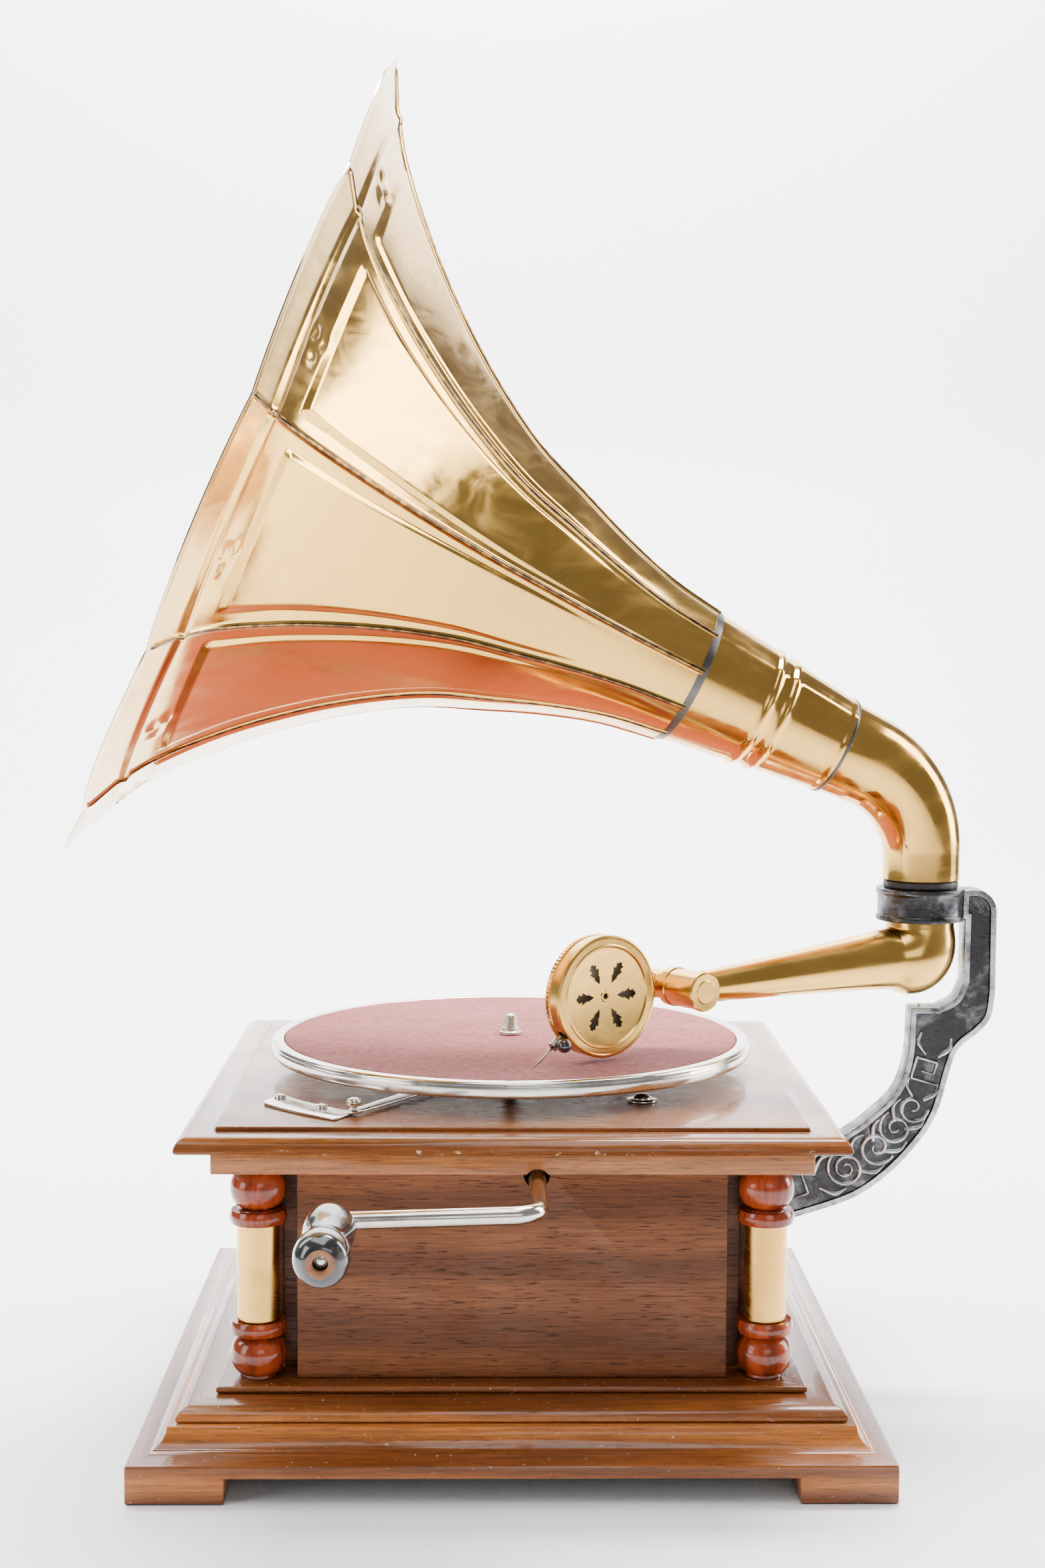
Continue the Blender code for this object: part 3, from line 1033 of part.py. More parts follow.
def make_horn(brass, joint):
    flat, axis = horn_directions()
    side = flat.cross(UP)
    foot = Vector((PIVOT_X, 0, RING_TOP + GASKET_HEIGHT))
    bend_start = foot + ELBOW_FOOT_HEIGHT * UP
    centre = bend_start + ELBOW_BEND * flat
    turn = math.pi / 2 - HORN_RISE
    places = [(foot, UP), (bend_start, UP)]
    steps = 6
    for index in range(1, steps + 1):
        angle = turn * index / steps
        spoke = -math.cos(angle) * flat + math.sin(angle) * UP
        places.append((centre + ELBOW_BEND * spoke, math.sin(angle) * flat + math.cos(angle) * UP))
    end = elbow_end()
    places.append((end, axis))
    lengths = [0.0]
    for (one, _), (other, _) in zip(places, places[1:]):
        lengths.append(lengths[-1] + (other - one).length)
    stations = []
    for (place, way), length in zip(places, lengths):
        share = max(0.0, length - ELBOW_FOOT_HEIGHT) / (lengths[-1] - ELBOW_FOOT_HEIGHT)
        stations.append((place, way, ELBOW_FOOT_RADIUS + (NECK_RADIUS - ELBOW_FOOT_RADIUS) * share))
    piece("horn_elbow", duct(stations, side, TUBE_WALL, 20), brass, joint, 50)

    neck = []
    beads = ((0.0, 0.0), (0.036, 0.0), (0.0385, 0.0012), (0.041, 0.0), (0.046, 0.0), (0.0485, 0.0012), (0.051, 0.0),
             (1.0, 0.0))
    for along, swell in beads:
        length = GAP + min(along, NECK_LENGTH - GAP)
        radius = NECK_RADIUS + (BELL_RADIUS - NECK_RADIUS) * length / NECK_LENGTH + swell
        neck.append((end + length * axis, axis, radius))
    piece("horn_neck", duct(neck, side, TUBE_WALL, 20), brass, joint, 50)
    make_bell(brass, joint, end + (NECK_LENGTH + GAP) * axis, axis, flat)


def make_bell(brass, joint, start, axis, flat):
    upward = (UP - UP.dot(axis) * axis).normalized()
    forward = upward.cross(axis)
    across = 4
    outer, inner = [], []
    last = len(BELL_PROFILE) - 1
    for number, (along, radius) in enumerate(BELL_PROFILE):
        before = BELL_PROFILE[max(0, number - 1)]
        after = BELL_PROFILE[min(last, number + 1)]
        slope = Vector((after[0] - before[0], after[1] - before[1])).normalized()
        flatness = min(1.0, number / 3) * 0.8
        swell = max(0.0, (number - last + 2) / 2) ** 1.5
        tilt = RIM_TILT * (number / last) ** 2
        rings = [], []
        for index in range(PETALS * across):
            share = (index % across) / across
            angle = PETAL_START + math.tau * index / (PETALS * across)
            chord = math.cos(math.pi / PETALS) / math.cos((share - 0.5) * math.tau / PETALS)
            bulge = swell * 4 * share * (1 - share)
            reach = radius * (1 - flatness * (1 - chord)) + PETAL_SCALLOP * bulge
            spoke = math.cos(angle) * upward + math.sin(angle) * forward
            outside = start + (along + PETAL_REACH * bulge + tilt * math.cos(angle)) * axis + reach * spoke
            rings[0].append(outside)
            rings[1].append(outside + BELL_SHEET * (slope.y * axis - slope.x * spoke))
        outer.append(rings[0])
        inner.append(rings[1])
    piece("horn_bell", skin(outer + inner[::-1], closed=True), brass, joint, 30)


# ---------------------------------------------------------------- whole

def settle(root):
    """Puts the origin under the middle of the whole model's bounding box."""
    bpy.context.view_layer.update()
    graph = bpy.context.evaluated_depsgraph_get()
    low = Vector((math.inf,) * 3)
    high = Vector((-math.inf,) * 3)
    for obj in bpy.context.scene.objects:
        if obj.type != "MESH" or obj.hide_render:
            continue
        solid = obj.evaluated_get(graph)
        for vertex in solid.data.vertices:
            point = solid.matrix_world @ vertex.co
            low = Vector(map(min, low, point))
            high = Vector(map(max, high, point))
    root.location = (-(low.x + high.x) / 2, -(low.y + high.y) / 2, -low.z)


def main():
    for obj in list(bpy.data.objects):
        bpy.data.objects.remove(obj, do_unlink=True)

    wood = material("polished_wood", (0.42, 0.19, 0.07), 0.3)
    panel_wood = material("panel_wood", (0.25, 0.11, 0.05), 0.5)
    stained = material("stained_wood", (0.36, 0.09, 0.03), 0.25)
    brass = material("polished_brass", (0.80, 0.60, 0.28), 0.2, 1.0)
    nickel = material("nickel_plate", (0.75, 0.73, 0.68), 0.2, 1.0)
    steel = material("bright_steel", (0.55, 0.55, 0.55), 0.35, 1.0)
    iron = material("cast_iron", (0.10, 0.10, 0.10), 0.4, 1.0)
    cloth = material("felt", (0.42, 0.13, 0.14), 0.95)
    rubber = material("rubber", (0.02, 0.02, 0.02), 0.7)
    lacquer = material("black_lacquer", (0.015, 0.017, 0.02), 0.15)
    mica = material("mica", (0.75, 0.70, 0.55), 0.3)

    base = joint_empty("base", (0, 0, 0))
    along, out = head_directions()
    needle_way = math.cos(NEEDLE_DIP) * along - math.sin(NEEDLE_DIP) * UP
    needle_hub = soundbox_centre() + (SOUNDBOX_FACE - 0.0052) * out
    transfer = circle_crossing(BARREL_PLACE, BARREL_MODULE * (BARREL_TEETH + TRANSFER_PINION_TEETH) / 2, (0, 0),
                               TRANSFER_MODULE * (TRANSFER_TEETH + SPINDLE_TEETH) / 2)
    joints = {"base": base}
    joints["platter"] = joint_empty("platter_spin", (0, 0, RIM_TOP), base)
    joints["barrel"] = joint_empty("barrel_spin", (*BARREL_PLACE, GOVERNOR_HEIGHT), base)
    joints["arbor"] = joint_empty("arbor_turn", (*BARREL_PLACE, TOP_PLATE_BOTTOM), base)
    joints["transfer"] = joint_empty("transfer_spin", (*transfer, GOVERNOR_HEIGHT), base)
    joints["governor"] = joint_empty("governor_spin", (0, governor_axis(), GOVERNOR_HEIGHT), base)
    joints["speed"] = joint_empty("speed_lever_turn", (*SPEED_PIVOT, GOVERNOR_HEIGHT), base)
    joints["crank"] = joint_empty("crank_turn", (CRANK_X, CRANK_PLANE, CRANK_HEIGHT), base)
    joints["handle"] = joint_empty("handle_spin", crank_end(), joints["crank"])
    joints["brake"] = joint_empty("brake_turn", polar(BRAKE_PIVOT_RADIUS, BRAKE_ANGLE, BOARD_TOP), base)
    joints["tonearm"] = joint_empty("tonearm_swing", (PIVOT_X, 0, RING_BOTTOM), base)
    joints["lift"] = joint_empty("soundbox_lift", crossbar_middle(), joints["tonearm"])
    joints["needle"] = joint_empty("needle_rock", needle_hub + SOUNDBOX_RADIUS * needle_way, joints["lift"])
    joints["horn"] = joint_empty("horn_swivel", (PIVOT_X, 0, RING_TOP), base)

    make_plinth(wood, base)
    make_case(wood, panel_wood, base)
    make_columns(stained, brass, base)
    make_platter(nickel, cloth, joints["platter"])
    make_motor_frame(steel, base)
    make_spring(steel, brass, joints)
    make_train(steel, brass, cloth, joints)
    make_governor(steel, brass, joints)
    make_crank(nickel, lacquer, joints)
    make_brake(nickel, joints)
    make_bracket(iron, steel, rubber, joints)
    make_tonearm(brass, joints)
    make_soundbox(brass, steel, mica, lacquer, joints)
    make_horn(brass, joints["horn"])
    settle(base)


main()
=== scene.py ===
"""The finished surfaces of a wind-up phonograph with an outside horn."""

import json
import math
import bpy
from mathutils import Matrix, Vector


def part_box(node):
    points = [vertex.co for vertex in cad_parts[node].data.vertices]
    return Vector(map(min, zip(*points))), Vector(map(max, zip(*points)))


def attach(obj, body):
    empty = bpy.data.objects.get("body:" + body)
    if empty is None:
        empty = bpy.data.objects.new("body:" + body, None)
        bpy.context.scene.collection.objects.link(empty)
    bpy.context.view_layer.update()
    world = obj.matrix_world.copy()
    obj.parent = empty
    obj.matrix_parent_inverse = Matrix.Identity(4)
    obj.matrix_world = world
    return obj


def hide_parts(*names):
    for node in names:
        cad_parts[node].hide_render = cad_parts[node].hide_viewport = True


bl_info = {
    "name": "Wind-up Phonograph",
    "version": (1, 0, 0),
    "blender": (4, 5, 0),
    "location": "View3D > Sidebar > Phonograph",
    "description": "Models the finished pieces of a wind-up phonograph around its measured frame",
    "category": "Object",
}

import bmesh
import bpy
from bpy.props import FloatProperty, FloatVectorProperty, PointerProperty
from mathutils import Matrix, Vector

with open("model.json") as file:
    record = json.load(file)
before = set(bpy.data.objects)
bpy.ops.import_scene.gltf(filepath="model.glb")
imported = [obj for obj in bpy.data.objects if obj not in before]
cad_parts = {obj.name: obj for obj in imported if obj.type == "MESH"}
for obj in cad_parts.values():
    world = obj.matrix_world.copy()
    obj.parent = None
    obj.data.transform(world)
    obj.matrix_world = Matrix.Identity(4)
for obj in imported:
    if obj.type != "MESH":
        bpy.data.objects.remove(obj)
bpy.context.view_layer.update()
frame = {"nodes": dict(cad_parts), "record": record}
NODES = frame["nodes"]
JOINTS = {joint["name"]: joint for joint in frame["record"]["behaviour"]["joints"]}
UP = Vector((0, 0, 1))


def middle(node):
    """The middle of a frame node's box."""
    low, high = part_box(node)
    return (low + high) / 2


PLINTH = middle("plinth")
CENTRE = Vector((PLINTH.x, PLINTH.y, 0))


def joint_place(name):
    """Where a joint's axis stands."""
    return Vector(JOINTS[name]["pos_m"])


# ------------------------------------------------------------------ sizes and colours

class PhonographSizes(bpy.types.PropertyGroup):
    arris: FloatProperty(name="Arris", description="Rounding of the wooden edges", default=0.0008,
                         min=0.0001, max=0.002, subtype="DISTANCE", unit="LENGTH")
    horn_sheet: FloatProperty(name="Horn Sheet", description="Thickness of the horn's brass sheet",
                              default=0.0007, min=0.0002, max=0.001, subtype="DISTANCE", unit="LENGTH")
    seam_height: FloatProperty(name="Seam Height", description="How far the rolled seams stand off the horn",
                               default=0.0011, min=0, max=0.003, subtype="DISTANCE", unit="LENGTH")
    emboss_depth: FloatProperty(name="Emboss Depth", description="Depth of the shapes pressed in the petals",
                                default=0.0014, min=0, max=0.003, subtype="DISTANCE", unit="LENGTH")
    knurl_depth: FloatProperty(name="Knurl Depth", description="Depth of the knurling round the soundbox",
                               default=0.0004, min=0, max=0.001, subtype="DISTANCE", unit="LENGTH")
    relief: FloatProperty(name="Relief", description="Height of the scrollwork on the cast bracket",
                          default=0.0011, min=0, max=0.003, subtype="DISTANCE", unit="LENGTH")


def colour_property(name, description, default):
    return FloatVectorProperty(name=name, description=description, default=default, size=3, min=0, max=1,
                               subtype="COLOR")


class PhonographColours(bpy.types.PropertyGroup):
    wood_light: colour_property("Light Wood", "Pale bands of the varnished wood", (0.42, 0.145, 0.034))
    wood_dark: colour_property("Dark Wood", "Dark bands of the varnished wood", (0.18, 0.052, 0.012))
    panel_light: colour_property("Light Panel", "Pale bands of the case panels", (0.225, 0.078, 0.029))
    panel_dark: colour_property("Dark Panel", "Dark bands of the case panels", (0.125, 0.042, 0.015))
    stain: colour_property("Stain", "Red stain on the turned columns", (0.34, 0.050, 0.012))
    brass: colour_property("Brass", "Polished sheet brass", (0.70, 0.42, 0.105))
    tarnish_and_shade: colour_property("Tarnish", "Brown film on the brass", (0.42, 0.20, 0.06))
    nickel: colour_property("Nickel", "Nickel plating", (0.66, 0.63, 0.58))
    felt: colour_property("Felt", "Wool felt on the turntable", (0.30, 0.078, 0.074))
    casting: colour_property("Casting", "Dark iron of the bracket", (0.055, 0.056, 0.060))


def sizes():
    return bpy.context.scene.phonograph_sizes


def colours():
    return bpy.context.scene.phonograph_colours


# ------------------------------------------------------------------ materials

class Finish:
    """A Principled material with short ways to add its nodes."""

    def __init__(self, name, colour, roughness, metallic=0.0, coat=0.0, sheen=0.0, specular=0.5):
        self.material = bpy.data.materials.new(name)
        self.material.use_nodes = True
        self.tree = self.material.node_tree
        self.shader = self.tree.nodes["Principled BSDF"]
        self.shader.inputs["Base Color"].default_value = (*colour, 1)
        self.shader.inputs["Roughness"].default_value = roughness
        self.shader.inputs["Metallic"].default_value = metallic
        self.shader.inputs["Coat Weight"].default_value = coat
        self.shader.inputs["Coat Roughness"].default_value = 0.06
        self.shader.inputs["Sheen Weight"].default_value = sheen
        self.shader.inputs["Specular IOR Level"].default_value = specular
        self.height = None
        self.place = self.tree.nodes.new("ShaderNodeTexCoord").outputs["Object"]

    def put(self, socket, value):
        """Links a node's output to a socket, or sets the socket to a number or colour."""
        if isinstance(value, bpy.types.NodeSocket):
            self.tree.links.new(value, socket)
        elif socket.type == "RGBA":
            socket.default_value = (*tuple(value)[:3], 1)
        else:
            socket.default_value = value

    def stretched(self, scale):
        """The object's own coordinates, scaled unequally."""
        node = self.tree.nodes.new("ShaderNodeMapping")
        node.inputs["Scale"].default_value = scale
        self.put(node.inputs["Vector"], self.place)
        return node.outputs["Vector"]

    def noise(self, scale, detail=3.0, place=None, rough=0.55, distortion=0.0):
        node = self.tree.nodes.new("ShaderNodeTexNoise")
        self.put(node.inputs["Vector"], place or self.place)
        node.inputs["Scale"].default_value = scale
        node.inputs["Detail"].default_value = detail
        node.inputs["Roughness"].default_value = rough
        node.inputs["Distortion"].default_value = distortion
        return node.outputs["Fac"]

    def bands(self, scale, distortion, place, direction):
        """Wavy growth rings."""
        node = self.tree.nodes.new("ShaderNodeTexWave")
        node.bands_direction = direction
        self.put(node.inputs["Vector"], place)
        node.inputs["Scale"].default_value = scale
        node.inputs["Distortion"].default_value = distortion
        node.inputs["Detail"].default_value = 3
        node.inputs["Detail Scale"].default_value = 1.4
        return node.outputs["Fac"]

    def sum(self, kind, a, b):
        node = self.tree.nodes.new("ShaderNodeMath")
        node.operation = kind
        self.put(node.inputs[0], a)
        self.put(node.inputs[1], b)
        return node.outputs[0]

    def ramp(self, value, start, end, low=0.0, high=1.0):
        """A smooth step of the value, from low to high."""
        node = self.tree.nodes.new("ShaderNodeMapRange")
        node.interpolation_type = "SMOOTHSTEP"
        self.put(node.inputs["Value"], value)
        for name, number in (("From Min", start), ("From Max", end), ("To Min", low), ("To Max", high)):
            node.inputs[name].default_value = number
        return node.outputs["Result"]

    def part(self, axis):
        node = self.tree.nodes.new("ShaderNodeSeparateXYZ")
        self.put(node.inputs[0], self.place)
        return node.outputs[axis]

    def mix(self, share, a, b):
        node = self.tree.nodes.new("ShaderNodeMix")
        node.data_type = "RGBA"
        self.put(node.inputs["Factor"], share)
        self.put(node.inputs[6], a)
        self.put(node.inputs[7], b)
        return node.outputs[2]

    def bump(self, height, distance, strength):
        """Adds relief on top of the relief already there."""
        node = self.tree.nodes.new("ShaderNodeBump")
        node.inputs["Strength"].default_value = strength
        node.inputs["Distance"].default_value = distance
        self.put(node.inputs["Height"], height)
        if self.height:
            self.put(node.inputs["Normal"], self.height)
        self.height = node.outputs["Normal"]
        self.put(self.shader.inputs["Normal"], self.height)

    def colour(self, value):
        self.put(self.shader.inputs["Base Color"], value)

    def roughness(self, value):
        self.put(self.shader.inputs["Roughness"], value)


MADE = {}


def finish(name):
    """The material of this name, made the first time it is asked for."""
    if name not in MADE:
        MADE[name] = FINISHES[name](name)
    return MADE[name]


def wood(name, light, dark, grain, gloss=0.25, coat=0.3, figure=1.0, pores=0.5, wear=None, dust=0.0):
    """Sawn wood whose grain runs along one axis."""
    made = Finish(name, light, gloss, coat=coat, specular=0.22)

    def grained(across, along):
        scale = [across] * 3
        scale["XYZ".index(grain)] = along
        return made.stretched(scale)

    long = grained(22.0, 1.6)
    bend = made.noise(1.1, 3, long, 0.6, 0.6)
    rings = made.bands(0.55 * figure, 6.5, long, "Z")
    share = made.sum("ADD", made.sum("MULTIPLY", rings, 0.55), made.sum("MULTIPLY", bend, 0.5))
    share = made.ramp(share, 0.22, 0.88)
    fibre = made.noise(1.0, 4, grained(900.0, 26.0), 0.7)
    tone = made.mix(share, dark, light)
    streak = made.ramp(fibre, 0.35, 0.7, 0.62, 1.12)
    tinted = made.tree.nodes.new("ShaderNodeVectorMath")
    tinted.operation = "SCALE"
    made.put(tinted.inputs[0], tone)
    made.put(tinted.inputs["Scale"], streak)
    pore = made.ramp(made.noise(1.0, 2, grained(1500.0, 95.0), 0.5), 0.60, 0.70)
    blotch = made.noise(7.0, 3)
    shade = made.mix(made.sum("MULTIPLY", pore, pores), tinted.outputs[0], [c * 0.25 for c in dark])
    shade = made.mix(made.ramp(blotch, 0.35, 0.75, 0.0, 0.35), shade, [c * 0.6 for c in dark])
    if wear:
        low, high = wear
        z = made.part("Z")
        band = made.sum("MULTIPLY", made.ramp(z, low, low + 0.0006),
                        made.ramp(z, high, high + 0.0006, 1.0, 0.0))
        chips = made.ramp(made.noise(95.0, 4, None, 0.7), 0.60, 0.66)
        shade = made.mix(made.sum("MULTIPLY", band, chips), shade, (0.62, 0.40, 0.22))
    if dust:
        spots = made.ramp(made.noise(420.0, 2), 0.70, 0.76)
        shade = made.mix(made.sum("MULTIPLY", spots, dust), shade, (0.66, 0.55, 0.45))
    made.colour(shade)
    made.roughness(made.ramp(made.noise(30.0, 3), 0.3, 0.75, gloss * 0.8, gloss * 1.5))
    made.bump(fibre, 0.00005, 0.5)
    made.bump(made.sum("MULTIPLY", pore, -1.0), 0.00012, 0.5 + pores * 0.4)
    made.bump(made.noise(9.0, 2), 0.0006, 0.35)
    return made.material


def varnished(grain, **more):
    return lambda name: wood(name, colours().wood_light, colours().wood_dark, grain, **more)


def panelled(grain):
    return lambda name: wood(name, colours().panel_light, colours().panel_dark, grain, gloss=0.42, coat=0.02,
                             figure=0.8, pores=0.95)


def plinth_wood(grain):
    return lambda name: wood(name, [c * k for c, k in zip(colours().wood_light, (1.18, 1.12, 1.0))],
                             colours().wood_dark, grain, gloss=0.22, coat=0.35, figure=1.3, dust=0.45)


def lid_wood(grain):
    low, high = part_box("lid_frame")
    return lambda name: wood(name, colours().wood_light, colours().wood_dark, grain, gloss=0.2, coat=0.35,
                             wear=(low.z - 0.001, low.z + 0.0022))


def stained_wood(name):
    made = Finish(name, colours().stain, 0.18, coat=0.5, specular=0.25)
    long = made.stretched((60, 60, 9))
    share = made.ramp(made.noise(2.2, 4, long, 0.65, 0.5), 0.3, 0.75)
    stain = colours().stain
    made.colour(made.mix(share, [c * 0.32 for c in stain], [c * 1.15 for c in stain]))
    made.roughness(made.ramp(made.noise(60, 3), 0.3, 0.7, 0.12, 0.3))
    made.bump(made.noise(1.0, 3, made.stretched((700, 700, 60))), 0.00006, 0.5)
    return made.material


# The tarnish share mixes the brown film into the brass; at the column brass's share of 0.95 this darkening is painted
# shade.
def sheet_brass(name, tarnish_and_shade=0.35, dents=0.5, low=0.07, high=0.24, seams=False):
    made = Finish(name, colours().brass, 0.15, 1.0)
    brass, film = colours().brass, colours().tarnish_and_shade
    cloud = made.ramp(made.noise(5.5, 5, None, 0.6, 0.8), 0.42, 0.78)
    tone = made.mix(made.sum("MULTIPLY", cloud, tarnish_and_shade), brass, film)
    warm = made.ramp(made.noise(1.7, 2), 0.35, 0.7)
    tone = made.mix(made.sum("MULTIPLY", warm, 0.5), tone, (0.76, 0.42, 0.095))
    spots = made.ramp(made.noise(260.0, 3, None, 0.75), 0.68, 0.74)
    tone = made.mix(made.sum("MULTIPLY", spots, 0.45), tone, [c * 0.45 for c in film])
    made.colour(tone)
    smear = made.noise(18.0, 4, made.stretched((1, 1, 2.5)), 0.65, 1.2)
    made.roughness(made.ramp(smear, 0.3, 0.75, low, high))
    made.bump(made.noise(14.0, 2, None, 0.4), 0.0016, 0.22 * dents)
    made.bump(made.noise(55.0, 2, None, 0.5), 0.0004, 0.2 * dents)
    made.bump(made.noise(1400.0, 2), 0.00002, 0.25)
    if not seams:
        return made.material
    place = made.tree.nodes.new("ShaderNodeUVMap")
    place.uv_map = "petal"
    split = made.tree.nodes.new("ShaderNodeSeparateXYZ")
    made.put(split.inputs[0], place.outputs["UV"])
    line = made.ramp(split.outputs["X"], 0.00035, 0.0010, 1.0, 0.0)
    # rim: a pale band along the petals' rolled rim, mixed toward (0.62, 0.52, 0.36), is a painted highlight on the
    # roll
    rim = made.ramp(split.outputs["Y"], 0.0024, 0.0034, 0.55, 0.0)
    grime = made.ramp(made.noise(190.0, 3), 0.3, 0.6, 0.55, 1.0)
    shade = made.mix(made.sum("MULTIPLY", line, grime), tone, (0.09, 0.055, 0.030))
    made.colour(made.mix(rim, shade, (0.62, 0.52, 0.36)))
    return made.material


def nickel_plate(name, low=0.1, high=0.26, tone=1.0):
    made = Finish(name, [c * tone for c in colours().nickel], 0.18, 1.0)
    nickel = [c * tone for c in colours().nickel]
    film = made.ramp(made.noise(40.0, 5, None, 0.7), 0.5, 0.75)
    shade = made.mix(made.sum("MULTIPLY", film, 0.4), nickel, (0.36, 0.27, 0.18))
    pits = made.ramp(made.noise(900.0, 2), 0.68, 0.74)
    made.colour(made.mix(made.sum("MULTIPLY", pits, 0.6), shade, (0.10, 0.07, 0.05)))
    made.roughness(made.ramp(made.noise(90.0, 4), 0.3, 0.75, low, high))
    made.bump(made.noise(350.0, 3), 0.00004, 0.4)
    return made.material


def machined_steel(name):
    made = Finish(name, (0.46, 0.45, 0.43), 0.34, 1.0)
    made.colour(made.mix(made.ramp(made.noise(35.0, 4), 0.4, 0.7), (0.50, 0.49, 0.47), (0.30, 0.28, 0.25)))
    made.roughness(made.ramp(made.noise(200.0, 3), 0.3, 0.7, 0.25, 0.45))
    made.bump(made.noise(1.0, 2, made.stretched((1500, 90, 90))), 0.00003, 0.5)
    return made.material


def dark_casting(name):
    made = Finish(name, colours().casting, 0.33, 1.0)
    iron = colours().casting
    rub = made.ramp(made.noise(48.0, 5, None, 0.7, 0.6), 0.48, 0.72)
    tone = made.mix(rub, [c * 0.7 for c in iron], [min(1, c * 3.4) for c in iron])
    grime = made.ramp(made.noise(160.0, 4), 0.42, 0.6)
    made.colour(made.mix(made.sum("MULTIPLY", grime, 0.35), tone, (0.035, 0.028, 0.022)))
    made.roughness(made.ramp(made.noise(130.0, 4), 0.3, 0.75, 0.2, 0.5))
    made.bump(made.noise(320.0, 4, None, 0.7), 0.0004, 0.45)
    made.bump(made.noise(1500.0, 2), 0.00008, 0.4)
    return made.material


# Light grey metal for the bracket's bevelled edges, raised borders and scrollwork: a painted highlight on the dark
# casting.
def rubbed_casting(name):
    made = Finish(name, (0.36, 0.36, 0.37), 0.24, 1.0)
    rub = made.ramp(made.noise(70.0, 5, None, 0.7), 0.38, 0.68)
    made.colour(made.mix(rub, (0.48, 0.48, 0.49), (0.12, 0.12, 0.125)))
    made.roughness(made.ramp(made.noise(150.0, 4), 0.3, 0.75, 0.16, 0.4))
    made.bump(made.noise(420.0, 4), 0.0002, 0.4)
    return made.material


def wool_felt(name):
    made = Finish(name, colours().felt, 0.95, sheen=0.12, specular=0.2)
    felt = colours().felt
    nap = made.noise(1.0, 4, made.stretched((260, 1100, 1100)), 0.75)
    tone = made.mix(made.ramp(nap, 0.35, 0.68), [c * 0.55 for c in felt], [min(1, c * 1.5 + 0.02) for c in felt])
    worn = made.ramp(made.noise(14.0, 4, made.stretched((1, 2.2, 1)), 0.65), 0.45, 0.75)
    tone = made.mix(made.sum("MULTIPLY", worn, 0.35), tone, (0.42, 0.19, 0.19))
    lint = made.ramp(made.noise(1.0, 2, made.stretched((420, 700, 500)), 0.5), 0.71, 0.75)
    made.colour(made.mix(made.sum("MULTIPLY", lint, 0.75), tone, (0.75, 0.66, 0.64)))
    made.bump(nap, 0.00035, 0.8)
    made.bump(made.noise(2600.0, 2), 0.0001, 0.6)
    return made.material


def black_rubber(name):
    made = Finish(name, (0.014, 0.013, 0.012), 0.55)
    made.roughness(made.ramp(made.noise(300.0, 3), 0.3, 0.7, 0.4, 0.7))
    made.bump(made.noise(900.0, 3), 0.0001, 0.4)
    return made.material


def black_lacquer(name):
    made = Finish(name, (0.010, 0.011, 0.014), 0.12, coat=1.0)
    made.colour(made.mix(made.ramp(made.noise(120.0, 4), 0.6, 0.72), (0.010, 0.011, 0.014), (0.07, 0.06, 0.05)))
    made.roughness(made.ramp(made.noise(80.0, 3), 0.35, 0.75, 0.08, 0.28))
    made.bump(made.noise(60.0, 2), 0.0003, 0.25)
    return made.material


def bare_handle_wood(name):
    made = Finish(name, (0.30, 0.11, 0.04), 0.5)
    made.colour(made.mix(made.noise(300.0, 3), (0.36, 0.14, 0.05), (0.12, 0.04, 0.015)))
    return made.material


def mica_sheet(name):
    made = Finish(name, (0.50, 0.44, 0.30), 0.25, coat=0.4)
    made.colour(made.mix(made.ramp(made.noise(90.0, 4), 0.4, 0.7), (0.42, 0.36, 0.25), (0.17, 0.13, 0.08)))
    return made.material


def black_paint(name):
    made = Finish(name, (0.016, 0.012, 0.010), 0.5)
    made.bump(made.noise(300.0, 3), 0.0001, 0.4)
    return made.material


def copper_edge(name):
    made = Finish(name, (0.30, 0.13, 0.06), 0.42, 1.0)
    made.colour(made.mix(made.noise(60.0, 4), (0.36, 0.17, 0.08), (0.10, 0.06, 0.04)))
    return made.material


def pale_floor(name):
    made = Finish(name, (0.93, 0.93, 0.94), 0.55)
    made.roughness(made.ramp(made.noise(3.0, 2), 0.3, 0.7, 0.5, 0.6))
    return made.material


FINISHES = {
    "varnished_wood_x": varnished("X"), "varnished_wood_y": varnished("Y"),
    "board_wood": varnished("X", dust=0.35), "panel_wood_x": panelled("X"), "panel_wood_y": panelled("Y"),
    "plinth_wood_x": plinth_wood("X"), "plinth_wood_y": plinth_wood("Y"),
    "lid_wood_x": lid_wood("X"), "lid_wood_y": lid_wood("Y"),
    "stained_wood": stained_wood,
    "horn_brass": sheet_brass,
    "petal_brass": lambda name: sheet_brass(name, seams=True),
    "arm_brass": lambda name: sheet_brass(name, 0.25, 0.15, 0.14, 0.3),
    "soundbox_brass": lambda name: sheet_brass(name, 0.15, 0.08, 0.2, 0.34),
    # column_brass: its tarnish share of 0.95 darkens the column sleeves' brass as painted shade that dims their
    # reflection of the bright floor.
    "column_brass": lambda name: sheet_brass(name, 0.95, 0.3, 0.16, 0.36),
    "dark_solder": lambda name: nickel_plate(name, 0.3, 0.5, 0.16),
    "nickel_plate": nickel_plate,
    "machined_steel": machined_steel,
    "dark_casting": dark_casting, "rubbed_casting": rubbed_casting,
    "wool_felt": wool_felt, "black_rubber": black_rubber, "black_lacquer": black_lacquer,
    "bare_handle_wood": bare_handle_wood, "mica_sheet": mica_sheet, "black_paint": black_paint,
    "copper_edge": copper_edge, "pale_floor": pale_floor,
}


# ------------------------------------------------------------------ modelling tools

